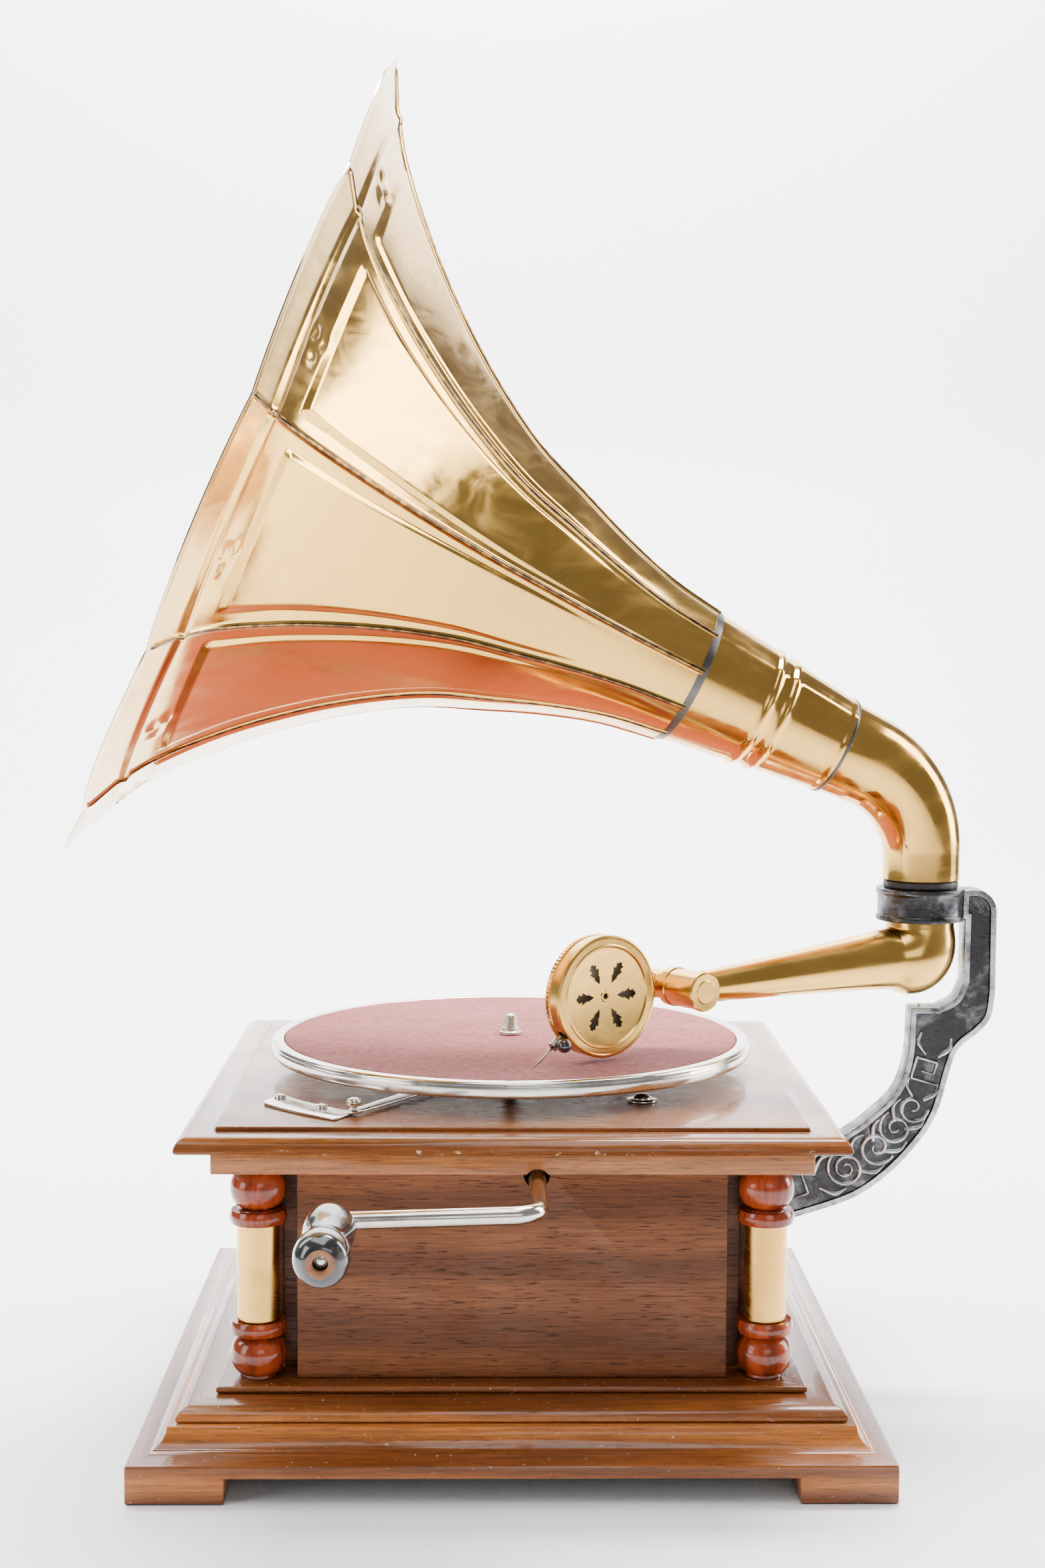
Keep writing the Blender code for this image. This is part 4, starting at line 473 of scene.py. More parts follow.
def publish(name, bm, finishes, body, nodes=(), smooth=35):
    """Makes a finished bmesh a piece that rides on a body and stands for the frame's nodes."""
    mesh = bpy.data.meshes.new(name)
    bm.to_mesh(mesh)
    bm.free()
    mesh.shade_smooth()
    mesh.set_sharp_from_angle(angle=math.radians(smooth))
    for one in finishes:
        mesh.materials.append(finish(one))
    obj = bpy.data.objects.new(name, mesh)
    bpy.context.scene.collection.objects.link(obj)
    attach(obj, body)
    if nodes:
        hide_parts(*nodes)
    return obj


def smooth_copy(node, one, body, smooth=35):
    """Stands for a frame node with a merged, smoothly shaded copy of it."""
    bm = bmesh.new()
    bm.from_mesh(NODES[node].data)
    bmesh.ops.remove_doubles(bm, verts=bm.verts, dist=1e-6)
    return publish("fine_" + node, bm, [one], body, [node], smooth)


def rounded(points, radius, steps=3):
    """The profile with its inner corners rounded."""
    made = [Vector(points[0])]
    for before, corner, after in zip(points, points[1:], points[2:]):
        before, corner, after = Vector(before), Vector(corner), Vector(after)
        reach = min(radius, (before - corner).length * 0.45, (after - corner).length * 0.45)
        start = corner + (before - corner).normalized() * reach
        end = corner + (after - corner).normalized() * reach
        for index in range(steps + 1):
            share = index / steps
            made.append(start.lerp(corner, share).lerp(corner.lerp(end, share), share))
    made.append(Vector(points[-1]))
    return made


def points_of(geometry):
    """The vertices among what an operator has made."""
    return [part for part in geometry if isinstance(part, bmesh.types.BMVert)]


def bevel(bm, edges, offset, segments=2, material=-1):
    bmesh.ops.bevel(bm, geom=edges, offset=offset, segments=segments, profile=0.5, affect="EDGES",
                    clamp_overlap=True, material=material)


def sharp_edges(bm, least):
    """The edges that turn by more than an angle."""
    return [edge for edge in bm.edges if len(edge.link_faces) == 2 and edge.calc_face_angle(0) > least]


def thicken(bm, thickness):
    """Raises a flat sheet to a closed plate."""
    made = bmesh.ops.extrude_face_region(bm, geom=list(bm.faces))["geom"]
    bmesh.ops.translate(bm, vec=(0, 0, thickness), verts=points_of(made))
    bmesh.ops.recalc_face_normals(bm, faces=bm.faces)


def half_width(node):
    low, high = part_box(node)
    return (high.x - low.x) / 2


def quarter(steps, first=0):
    """The angles of a quarter turn."""
    return [math.pi / 2 * index / steps for index in range(first, steps + 1)]


def smoothed(points, steps):
    """Points on a smooth curve through the given ones."""
    ends = [2 * Vector(points[0]) - Vector(points[1])]
    ends += [Vector(point) for point in points]
    ends.append(2 * Vector(points[-1]) - Vector(points[-2]))
    curve = []
    for a, b, c, d in zip(ends, ends[1:], ends[2:], ends[3:]):
        for index in range(steps):
            t = index / steps
            curve.append(0.5 * (2 * b + (c - a) * t + (2 * a - 5 * b + 4 * c - d) * t ** 2
                                + (3 * b - a - 3 * c + d) * t ** 3))
    return curve + [ends[-2]]


def lathe(profile, steps=64, closed=False, place=(0, 0, 0), axis=UP, start=0.0):
    """Spins a profile of (radius, height) points about an axis."""
    bm = bmesh.new()
    verts = [bm.verts.new((radius * math.cos(start), radius * math.sin(start), height))
             for radius, height in profile]
    edges = [bm.edges.new(pair) for pair in zip(verts, verts[1:])]
    if closed:
        edges.append(bm.edges.new((verts[-1], verts[0])))
    bmesh.ops.spin(bm, geom=verts + edges, cent=(0, 0, 0), axis=(0, 0, 1), angle=math.tau, steps=steps,
                   use_merge=True)
    bmesh.ops.remove_doubles(bm, verts=bm.verts, dist=1e-7)
    bmesh.ops.recalc_face_normals(bm, faces=bm.faces)
    turn = UP.rotation_difference(Vector(axis)).to_matrix().to_4x4()
    bmesh.ops.transform(bm, matrix=Matrix.Translation(place) @ turn, verts=bm.verts)
    return bm


def square_lathe(profile, closed=False, arris=0.0):
    """Spins a profile in four steps: a mitred square moulding, its corners rounded."""
    root = math.sqrt(2)
    bm = lathe([(radius * root, height) for radius, height in profile], 4, closed, CENTRE, UP, math.pi / 4)
    if arris:
        mitres = [edge for edge in bm.edges if len(edge.link_faces) == 2
                  and is_mitre(edge) and edge.calc_face_angle(0) > 0.5]
        bmesh.ops.bevel(bm, geom=mitres, offset=arris, segments=2, profile=0.5, affect="EDGES", material=-1)
    run_grain(bm)
    return bm


def run_grain(bm):
    """Gives the faces of a square moulding's left and right sides their second wood."""
    for face in bm.faces:
        normal = face.normal
        spot = face.calc_center_median() - CENTRE
        runs_y = abs(normal.x) > abs(normal.y) if abs(normal.z) < 0.9 else abs(spot.x) > abs(spot.y)
        face.material_index = 1 if runs_y else 0


def is_mitre(edge):
    """Whether an edge of a square ring lies on a diagonal, so that it turns a corner."""
    for vert in edge.verts:
        spot = vert.co - CENTRE
        if abs(abs(spot.x) - abs(spot.y)) > 1e-5:
            return False
    return True


def block(low, high, arris):
    """A block between two corners with rounded edges."""
    bm = bmesh.new()
    bmesh.ops.create_cube(bm, size=1)
    low, high = Vector(low), Vector(high)
    bmesh.ops.scale(bm, vec=high - low, verts=bm.verts)
    bmesh.ops.translate(bm, vec=(low + high) / 2, verts=bm.verts)
    if arris:
        bmesh.ops.bevel(bm, geom=bm.edges, offset=arris, segments=2, profile=0.5, affect="EDGES", material=-1)
    return bm


def station(place, way, side, radius):
    """The matrix of a ring across the way, its first point at the side."""
    way = Vector(way).normalized()
    other = way.cross(Vector(side)).normalized()
    first = other.cross(way).normalized()
    turn = Matrix((first, other, way)).transposed().to_4x4()
    return Matrix.Translation(place) @ turn @ Matrix.Scale(radius, 4)


def sweep(stations, side, segments=32, caps=False):
    """Extrudes a ring from station to station of (place, way, radius)."""
    bm = bmesh.new()
    bmesh.ops.create_circle(bm, segments=segments, radius=1)
    ring = list(bm.edges)
    first = list(bm.edges)
    before = Matrix.Identity(4)
    for index, (place, way, radius) in enumerate(stations):
        if index:
            made = bmesh.ops.extrude_edge_only(bm, edges=ring)["geom"]
            verts = set(points_of(made))
            ring = [part for part in made if isinstance(part, bmesh.types.BMEdge)
                    and part.verts[0] in verts and part.verts[1] in verts]
        else:
            verts = set(bm.verts)
        after = station(place, way, side, radius)
        bmesh.ops.transform(bm, matrix=after @ before.inverted(), verts=list(verts))
        before = after
    if caps:
        bmesh.ops.contextual_create(bm, geom=ring)
        bmesh.ops.contextual_create(bm, geom=first)
    bmesh.ops.recalc_face_normals(bm, faces=bm.faces)
    return bm


def shell(bm, thickness):
    """Gives an open sheet a wall on its inner side."""
    bmesh.ops.recalc_face_normals(bm, faces=bm.faces)
    bmesh.ops.solidify(bm, geom=bm.faces, thickness=thickness)
    return bm


def outline_plate(points, thickness, matrix, arris=0.0):
    """A plate with the outline, its edges rounded."""
    bm = bmesh.new()
    bm.faces.new([bm.verts.new((point[0], point[1], 0)) for point in points])
    thicken(bm, thickness)
    if arris:
        bevel(bm, sharp_edges(bm, 0.9), arris)
    bmesh.ops.transform(bm, matrix=matrix, verts=bm.verts)
    bmesh.ops.recalc_face_normals(bm, faces=bm.faces)
    return bm


def add(bm, other):
    """Adds another bmesh to this one."""
    mesh = bpy.data.meshes.new("part")
    other.to_mesh(mesh)
    other.free()
    bm.from_mesh(mesh)
    bpy.data.meshes.remove(mesh)
    return bm


def carve(bm, *tools):
    """Cuts tools out of a closed bmesh with exact Booleans."""
    for closed in (bm,) + tools:
        bmesh.ops.recalc_face_normals(closed, faces=closed.faces)
    body = temporary(bm)
    cutters = [temporary(tool) for tool in tools]
    for cutter in cutters:
        modifier = body.modifiers.new("cut", "BOOLEAN")
        modifier.operation = "DIFFERENCE"
        modifier.object = cutter
    bpy.context.view_layer.update()
    result = body.evaluated_get(bpy.context.evaluated_depsgraph_get()).to_mesh()
    made = bmesh.new()
    made.from_mesh(result)
    if not made.faces:
        raise RuntimeError("a cut left nothing of its piece")
    for obj in [body] + cutters:
        mesh = obj.data
        bpy.data.objects.remove(obj, do_unlink=True)
        bpy.data.meshes.remove(mesh)
    bmesh.ops.remove_doubles(made, verts=made.verts, dist=1e-7)
    return made


def temporary(bm):
    """An object that holds a bmesh for a cut."""
    mesh = bpy.data.meshes.new("temporary")
    bm.to_mesh(mesh)
    bm.free()
    obj = bpy.data.objects.new("temporary", mesh)
    bpy.context.scene.collection.objects.link(obj)
    return obj


def soften(bm, offset, least):
    """Rounds the sharp edges that a cut has left."""
    bevel(bm, sharp_edges(bm, least), offset)
    return bm


def bend(corner, before, after, radius, thick, steps=10):
    """Stations round a right-angled corner."""
    stations = []
    centre = corner - radius * before + radius * after
    for angle in quarter(steps):
        way = math.cos(angle) * before + math.sin(angle) * after
        place = centre - radius * math.cos(angle) * after + radius * math.sin(angle) * before
        stations.append((place, way.normalized(), thick))
    return stations


# ------------------------------------------------------------------ the pieces

class PHONOGRAPH_OT_stage(bpy.types.Operator):
    """Sets up the pale floor, the backdrop, the soft lights and the camera"""

    bl_idname = "phonograph.stage"
    bl_label = "Stage"

    def execute(self, context):
        world = bpy.data.worlds.new("studio")
        world.use_nodes = True
        world.node_tree.nodes["Background"].inputs["Color"].default_value = (1.0, 0.98, 0.95, 1)
        world.node_tree.nodes["Background"].inputs["Strength"].default_value = 0.3
        context.scene.world = world

        bm = bmesh.new()
        sweep_line = smoothed(((1.3, 0), (1.75, 0.1), (2.1, 0.5), (2.2, 1.1), (2.2, 3.2)), 8)
        verts = [bm.verts.new((-1.6, -2.6, 0))] + [bm.verts.new((-1.6, y, max(0, z))) for y, z in sweep_line]
        edges = [bm.edges.new(pair) for pair in zip(verts, verts[1:])]
        made = bmesh.ops.extrude_edge_only(bm, edges=edges)["geom"]
        bmesh.ops.translate(bm, vec=(3.2, 0, 0), verts=points_of(made))
        bmesh.ops.recalc_face_normals(bm, faces=bm.faces)
        bmesh.ops.translate(bm, vec=(0, 0, -0.0002), verts=bm.verts)
        mesh = bpy.data.meshes.new("backdrop")
        bm.to_mesh(mesh)
        bm.free()
        mesh.shade_smooth()
        mesh.materials.append(finish("pale_floor"))
        backdrop = bpy.data.objects.new("backdrop", mesh)
        context.scene.collection.objects.link(backdrop)

        aim = CENTRE + Vector((0, 0, 0.3))
        lamps = (("top_softbox", (-0.2, -0.35, 1.9), 1.5, 1.2, 28, aim),
                 ("right_softbox", (1.45, 0.25, 0.75), 0.55, 1.3, 34, aim),
                 ("left_softbox", (-1.6, -0.9, 0.75), 0.7, 1.2, 15, aim),
                 ("front_fill", (0.5, -2.4, 1.0), 1.2, 0.8, 7, aim),
                 ("backdrop_light", (0.0, 0.9, 2.9), 2.6, 0.7, 460, Vector((0, 2.15, 0.7))),
                 ("floor_light_left", (-1.25, 0.2, 1.1), 0.5, 1.2, 16, Vector((-0.5, 0.1, 0))))
        for name, place, width, height, power, target in lamps:
            light = bpy.data.lights.new(name, "AREA")
            light.shape = "RECTANGLE"
            light.size = width
            light.size_y = height
            light.energy = power
            lamp = bpy.data.objects.new(name, light)
            lamp.location = CENTRE + Vector(place)
            lamp.rotation_euler = (target - lamp.location).to_track_quat("-Z", "Y").to_euler()
            context.scene.collection.objects.link(lamp)

        camera = bpy.data.objects.new("camera", bpy.data.cameras.new("camera"))
        camera.data.lens = 50
        camera.data.sensor_width = 36
        camera.data.clip_start = 0.01
        yaw, pitch, roll = math.radians(0.93), math.radians(3.99), math.radians(0.27)
        ahead = Vector((math.sin(yaw) * math.cos(pitch), math.cos(yaw) * math.cos(pitch), -math.sin(pitch)))
        right = Vector((math.cos(yaw), -math.sin(yaw), 0))
        above = right.cross(ahead)
        rolled = right * math.cos(roll) + above * math.sin(roll)
        upright = above * math.cos(roll) - right * math.sin(roll)
        turn = Matrix((rolled, upright, -ahead)).transposed().to_4x4()
        camera.matrix_world = Matrix.Translation(CENTRE + Vector((-0.0129, -1.152, 0.3996))) @ turn
        context.scene.collection.objects.link(camera)
        context.scene.camera = camera
        return {"FINISHED"}


class PHONOGRAPH_OT_plinth(bpy.types.Operator):
    """Models the plinth with its corner feet, moulding and bottom board"""

    bl_idname = "phonograph.plinth"
    bl_label = "Plinth"

    def execute(self, context):
        arris = sizes().arris
        half = half_width("plinth")
        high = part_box("plinth")[1]
        cove, lip = 0.017, 0.018
        profile = [(half - 0.0006, 0), (half, 0.0006), (half, lip - 0.0006), (half - 0.0005, lip)]
        for angle in quarter(12, 1):
            profile.append((half - 0.0005 - (cove - 0.0005) * math.sin(angle),
                            lip + (high.z - lip) * (1 - math.cos(angle))))
        solid = square_lathe([(0, 0)] + profile + [(0, high.z)])
        gap, past = half - 0.0455, half + 0.01
        tools = [block(CENTRE + Vector((-past, -gap, -0.01)), CENTRE + Vector((past, gap, 0.012)), 0),
                 block(CENTRE + Vector((-gap, -past, -0.01)), CENTRE + Vector((gap, past, 0.012)), 0)]
        solid = soften(carve(solid, *tools), 0.0007, 0.9)
        run_grain(solid)
        for face in solid.faces:
            if face.normal.z < -0.5 or face.calc_center_median().z < 0.0008:
                face.material_index = 2
        publish("plinth_fine", solid, ["plinth_wood_x", "plinth_wood_y", "black_paint"], "case", ["plinth"])

        low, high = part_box("plinth_moulding")
        half = half_width("plinth_moulding")
        curve = [(half - arris, low.z), (half, low.z + arris)]
        foot = low.z + 0.0014
        for angle in quarter(12):
            curve.append((half - 0.013 * (1 - math.cos(angle)), foot + (high.z - foot) * math.sin(angle)))
        moulding = square_lathe([(0, low.z)] + curve + [(0, high.z)], False, 0.0004)
        publish("plinth_moulding_fine", moulding, ["plinth_wood_x", "plinth_wood_y"], "case",
                ["plinth_moulding"])

        low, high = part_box("bottom_board")
        half = half_width("bottom_board")
        rim = rounded([(0, low.z), (half, low.z), (half, high.z), (0, high.z)], 0.0014, 5)
        publish("bottom_board_fine", square_lathe(rim, False, 0.0004), ["plinth_wood_x", "plinth_wood_y"],
                "case", ["bottom_board"])
        return {"FINISHED"}


class PHONOGRAPH_OT_case(bpy.types.Operator):
    """Models the case's panels, cornice, lid frame and motor board"""

    bl_idname = "phonograph.case"
    bl_label = "Case"

    def execute(self, context):
        arris = sizes().arris
        crank = joint_place("crank_turn")
        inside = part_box("front_panel")[1].y

        def bore():
            return lathe([(0, -0.02), (0.0064, -0.02), (0.0064, 0.06), (0, 0.06)], 40, False,
                         (crank.x, inside, crank.z), (0, -1, 0))

        for node, one in (("front_panel", "panel_wood_x"), ("rear_panel", "panel_wood_x"),
                          ("left_panel", "panel_wood_y"), ("right_panel", "panel_wood_y")):
            solid = block(*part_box(node), arris)
            if node == "front_panel":
                solid = carve(solid, bore())
            publish(node + "_fine", solid, [one], "case", [node], 30)
        smooth_copy("carcass", "panel_wood_x", "case")

        low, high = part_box("cornice")
        inset = Vector((0.044, 0.044, -0.01))
        cornice = carve(block(low, high, arris), block(low + inset, high - inset, 0), bore())
        for face in cornice.faces:
            away = face.calc_center_median() - CENTRE
            face.material_index = int(abs(away.x) > abs(away.y))
        publish("cornice_fine", cornice, ["varnished_wood_x", "varnished_wood_y"], "case", ["cornice"])

        low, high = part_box("lid_frame")
        half = half_width("lid_frame")
        inner = half_width("motor_board") + 0.0003
        edge = [(inner, low.z), (half - 0.0009, low.z), (half - 0.0002, low.z + 0.0005)]
        for angle in quarter(10):
            edge.append((half - 0.0065 * (1 - math.cos(angle)), low.z + 0.0012
                         + (high.z - low.z - 0.0012) * math.sin(angle)))
        edge += [(inner + 0.0005, high.z), (inner, high.z - 0.0004)]
        publish("lid_frame_fine", square_lathe(edge, True, 0.0008), ["lid_wood_x", "lid_wood_y"], "case",
                ["lid_frame"])

        low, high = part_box("motor_board")
        half = half_width("motor_board")
        top = rounded([(0, low.z), (half, low.z), (half, high.z), (0, high.z)], 0.0009, 4)
        hole = lathe([(0, low.z - 0.01), (0.0059, low.z - 0.01), (0.0059, high.z + 0.01), (0, high.z + 0.01)], 32,
                     False, CENTRE)
        solid = carve(square_lathe(top, False, 0.0006), hole)
        for face in solid.faces:
            face.material_index = 0
        publish("motor_board_fine", solid, ["board_wood"], "case", ["motor_board"])
        return {"FINISHED"}


class PHONOGRAPH_OT_columns(bpy.types.Operator):
    """Turns the corner columns and their brass sleeves"""

    bl_idname = "phonograph.columns"
    bl_label = "Columns"

    def execute(self, context):
        for corner in ("front_left", "front_right", "rear_left", "rear_right"):
            node = "column_" + corner
            low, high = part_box(node)
            radius = half_width(node)
            height = high.z - low.z
            ball, collar, core = 0.0209, 0.0064, 0.0085
            place = (middle(node).x, middle(node).y, low.z)
            end = [(0, 0), (0.0090, 0)]
            end += [(0.0005 + 0.01305 * math.sin(angle) ** 0.62, ball * (1 - math.cos(angle)) / 2)
                    for angle in [math.pi * (0.16 + 0.72 * index / 14) for index in range(15)]]
            end += [(0.0098, ball - 0.0004), (0.0100, ball)]
            end += [(radius - 0.0009 + 0.0009 * math.sin(math.pi * index / 6), ball + collar * index / 6)
                    for index in range(7)]
            end += [(0.0104, ball + collar), (core, ball + collar)]
            profile = end + [(r, height - along) for r, along in end[::-1]]
            publish(node + "_fine", lathe(profile, 48, False, place), ["stained_wood"], "case", [node])
            sleeve = "column_sleeve_" + corner
            low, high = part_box(sleeve)
            radius = half_width(sleeve)
            wall = [(core + 0.0003, low.z), (radius - 0.0003, low.z), (radius, low.z + 0.0003),
                    (radius, high.z - 0.0003), (radius - 0.0003, high.z), (core + 0.0003, high.z)]
            # The sleeves take the column brass, darkened with painted shade.
            publish(sleeve + "_fine", lathe(wall, 48, True, (place[0], place[1], 0)), ["column_brass"], "case",
                    [sleeve])
        return {"FINISHED"}


class PHONOGRAPH_OT_motor(bpy.types.Operator):
    """Dresses the spring motor under the motor board and its bolts"""

    bl_idname = "phonograph.motor"
    bl_label = "Spring Motor"

    def execute(self, context):
        steel = {"motor_top_plate": "case", "motor_frame": "case", "mainspring": "barrel", "spring_arbor": "arbor",
                 "winding_shaft": "crank", "transfer_wheel": "transfer", "turntable_spindle": "turntable",
                 "governor_shaft": "governor", "speed_lever": "speed"}
        for node, body in steel.items():
            smooth_copy(node, "machined_steel", body)
        brass = {"spring_barrel": "barrel", "barrel_cover": "barrel", "governor_weights": "governor"}
        for node, body in brass.items():
            smooth_copy(node, "column_brass", body)
        for number in (1, 2, 3):
            node = f"motor_bolt_{number}"
            low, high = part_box(node)
            place = (middle(node).x, middle(node).y, 0)
            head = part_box("motor_board")[1].z + 0.0003
            dome = [(0.0045 * math.cos(angle), head + 0.0012 + 0.0026 * math.sin(angle))
                    for angle in quarter(8)]
            bolt = rounded([(0, low.z), (0.0022, low.z), (0.0022, low.z + 0.0015), (0.0042, low.z + 0.0015),
                            (0.0042, low.z + 0.005), (0.0022, low.z + 0.005), (0.0022, head), (0.0075, head),
                            (0.0075, head + 0.0009), (0.0047, head + 0.0011)], 0.0003, 2) + dome
            bolt[-1] = (0, head + 0.0038)
            slot = block((place[0] - 0.006, place[1] - 0.0005, head + 0.0026),
                         (place[0] + 0.006, place[1] + 0.0005, head + 0.006), 0)
            publish(node + "_fine", carve(lathe(bolt, 32, False, place), slot), ["nickel_plate"], "case", [node])
        return {"FINISHED"}


class PHONOGRAPH_OT_turntable(bpy.types.Operator):
    """Models the nickelled turntable, its felt and the spindle's collar"""

    bl_idname = "phonograph.turntable"
    bl_label = "Turntable"

    def execute(self, context):
        low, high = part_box("platter")
        outer = half_width("platter")
        felt_low, felt_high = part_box("platter_felt")
        seat = half_width("platter_felt") + 0.0003
        top, bottom = high.z, low.z
        deck = felt_low.z - 0.0003
        rim = [(0.0037, deck - 0.0015), (outer - 0.006, deck - 0.0015), (outer - 0.0035, bottom)]
        rim += [(outer - 0.0012, bottom), (outer - 0.0012, bottom + 0.0006), (outer, bottom + 0.0010),
                (outer, top - 0.0028), (outer - 0.0004, top - 0.0022), (outer - 0.0004, top - 0.0012),
                (outer - 0.0014, top), (seat + 0.0006, top), (seat, top - 0.0006)]
        rim += [(seat, deck), (0.0037, deck)]
        publish("platter_fine", lathe(rounded(rim, 0.0004, 2)[:-1] + [rim[-1]], 180, True, CENTRE),
                ["nickel_plate"], "turntable", ["platter"], 30)
        stripe = [(outer - 0.0030, bottom + 0.0001), (outer - 0.0010, bottom + 0.0001),
                  (outer - 0.0008, bottom + 0.0004), (outer - 0.0009, bottom + 0.0008),
                  (outer - 0.0030, bottom + 0.0008)]
        publish("platter_edge", lathe(stripe, 120, True, CENTRE), ["copper_edge"], "turntable")

        bore = 0.0037
        radius = half_width("platter_felt")
        cloth = rounded([(bore, felt_low.z), (radius, felt_low.z), (radius, felt_high.z), (bore, felt_high.z)],
                        0.0008, 4)
        felt = publish("felt_disc", lathe(cloth, 160, True, CENTRE), ["wool_felt"], "turntable", ["platter_felt"])
        face = felt_high.z
        collar = rounded([(0.0035, face + 0.0001), (0.0058, face + 0.0001), (0.0058, face + 0.0016),
                          (0.0045, face + 0.0024), (0.0045, face + 0.0036), (0.0035, face + 0.0036)], 0.0003)
        publish("spindle_collar", lathe(collar, 40, True, CENTRE), ["machined_steel"], "turntable")
        return {"FINISHED"}


class PHONOGRAPH_OT_brake(bpy.types.Operator):
    """Models the brake's plate, lever, knob and screw, and the needle cup"""

    bl_idname = "phonograph.brake"
    bl_label = "Brake"

    def execute(self, context):
        low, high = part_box("brake_plate")
        pivot = joint_place("brake_turn")
        angle = math.atan2(pivot.y - CENTRE.y, pivot.x - CENTRE.x)
        bm = bmesh.new()
        start, end = math.radians(214.0), math.radians(236.5)
        verts = [bm.verts.new(CENTRE + Vector((radius * math.cos(start), radius * math.sin(start), low.z)))
                 for radius in (0.1365, 0.1540)]
        edge = bm.edges.new(verts)
        bmesh.ops.spin(bm, geom=verts + [edge], cent=CENTRE, axis=(0, 0, 1), angle=end - start, steps=24)
        for vert in bm.verts:
            spot = vert.co - CENTRE
            if spot.xy.length > 0.15:
                share = (math.atan2(spot.y, spot.x) % math.tau - start) / (end - start)
                pull = max(0.0, 0.18 - share) / 0.18
                vert.co -= spot.xy.normalized().to_3d() * 0.012 * pull ** 2
        thicken(bm, 0.0012)
        bmesh.ops.bevel(bm, geom=sharp_edges(bm, 0.9), offset=0.0003, segments=2, profile=0.5, affect="EDGES",
                        material=-1)
        for radius, turn in ((0.1415, 215.6), (0.1400, 228.4)):
            spot = CENTRE + Vector((radius * math.cos(math.radians(turn)), radius * math.sin(math.radians(turn)), 0))
            rivet = [(0, low.z + 0.0008), (0.0030, low.z + 0.0008), (0.0030, low.z + 0.0015),
                     (0.0028, low.z + 0.0022), (0.0021, low.z + 0.0028), (0.0011, low.z + 0.0031),
                     (0, low.z + 0.0032)]
            add(bm, lathe(rivet, 28, False, spot))
        publish("brake_plate_fine", bm, ["nickel_plate"], "case", ["brake_plate"])

        low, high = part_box("brake_lever")
        matrix = Matrix.Translation((pivot.x, pivot.y, low.z)) @ Matrix.Rotation(angle, 4, "Z")
        shape = smoothed(((-0.005, 0.0025), (0, 0.0058), (0.03, 0.0046), (0.06, 0.0038), (0.0865, 0.0030)), 4)
        outline = [(p.x, p.y) for p in shape] + [(0.0888, 0.0012), (0.0888, -0.0012)]
        outline += [(p.x, -p.y) for p in shape[::-1]]
        lever = outline_plate(outline, high.z - low.z, matrix, 0.0003)
        publish("brake_lever_fine", lever, ["nickel_plate"], "brake", ["brake_lever"])
        knob = middle("brake_knob")
        knob.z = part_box("brake_knob")[0].z
        ball = [(0, 0), (0.0022, 0), (0.0021, 0.0006), (0.0016, 0.0012), (0.0017, 0.0018), (0.0029, 0.0025),
                (0.0035, 0.0034), (0.0035, 0.0042), (0.0029, 0.0052), (0.0018, 0.0059), (0, 0.0062)]
        ball = [(max(0, p[0]), p[1]) for p in smoothed(ball, 3)]
        publish("brake_knob_fine", lathe(ball, 36, False, knob), ["nickel_plate"], "brake",
                ["brake_knob"])
        smooth_copy("brake_screw", "nickel_plate", "case")

        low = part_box("needle_cup")[0]
        radius = half_width("needle_cup")
        place = (middle("needle_cup").x, middle("needle_cup").y, low.z)
        bowl = [(0, 0), (radius * 0.74, 0), (radius * 0.78, 0.0008), (radius * 0.95, 0.0030), (radius, 0.0036),
                (radius, 0.0043), (radius * 0.97, 0.0045), (radius * 0.89, 0.0044), (radius * 0.84, 0.0036),
                (radius * 0.66, 0.0016), (radius * 0.55, 0.0012), (0, 0.0011)]
        cup = lathe(bowl, 64, False, place)
        for face in cup.faces:
            spot = face.calc_center_median() - Vector(place)
            if face.normal.z > 0.2 and spot.xy.length < radius * 0.86:
                face.material_index = 1
        publish("needle_cup_fine", cup, ["nickel_plate", "bare_handle_wood"], "case", ["needle_cup"])
        return {"FINISHED"}


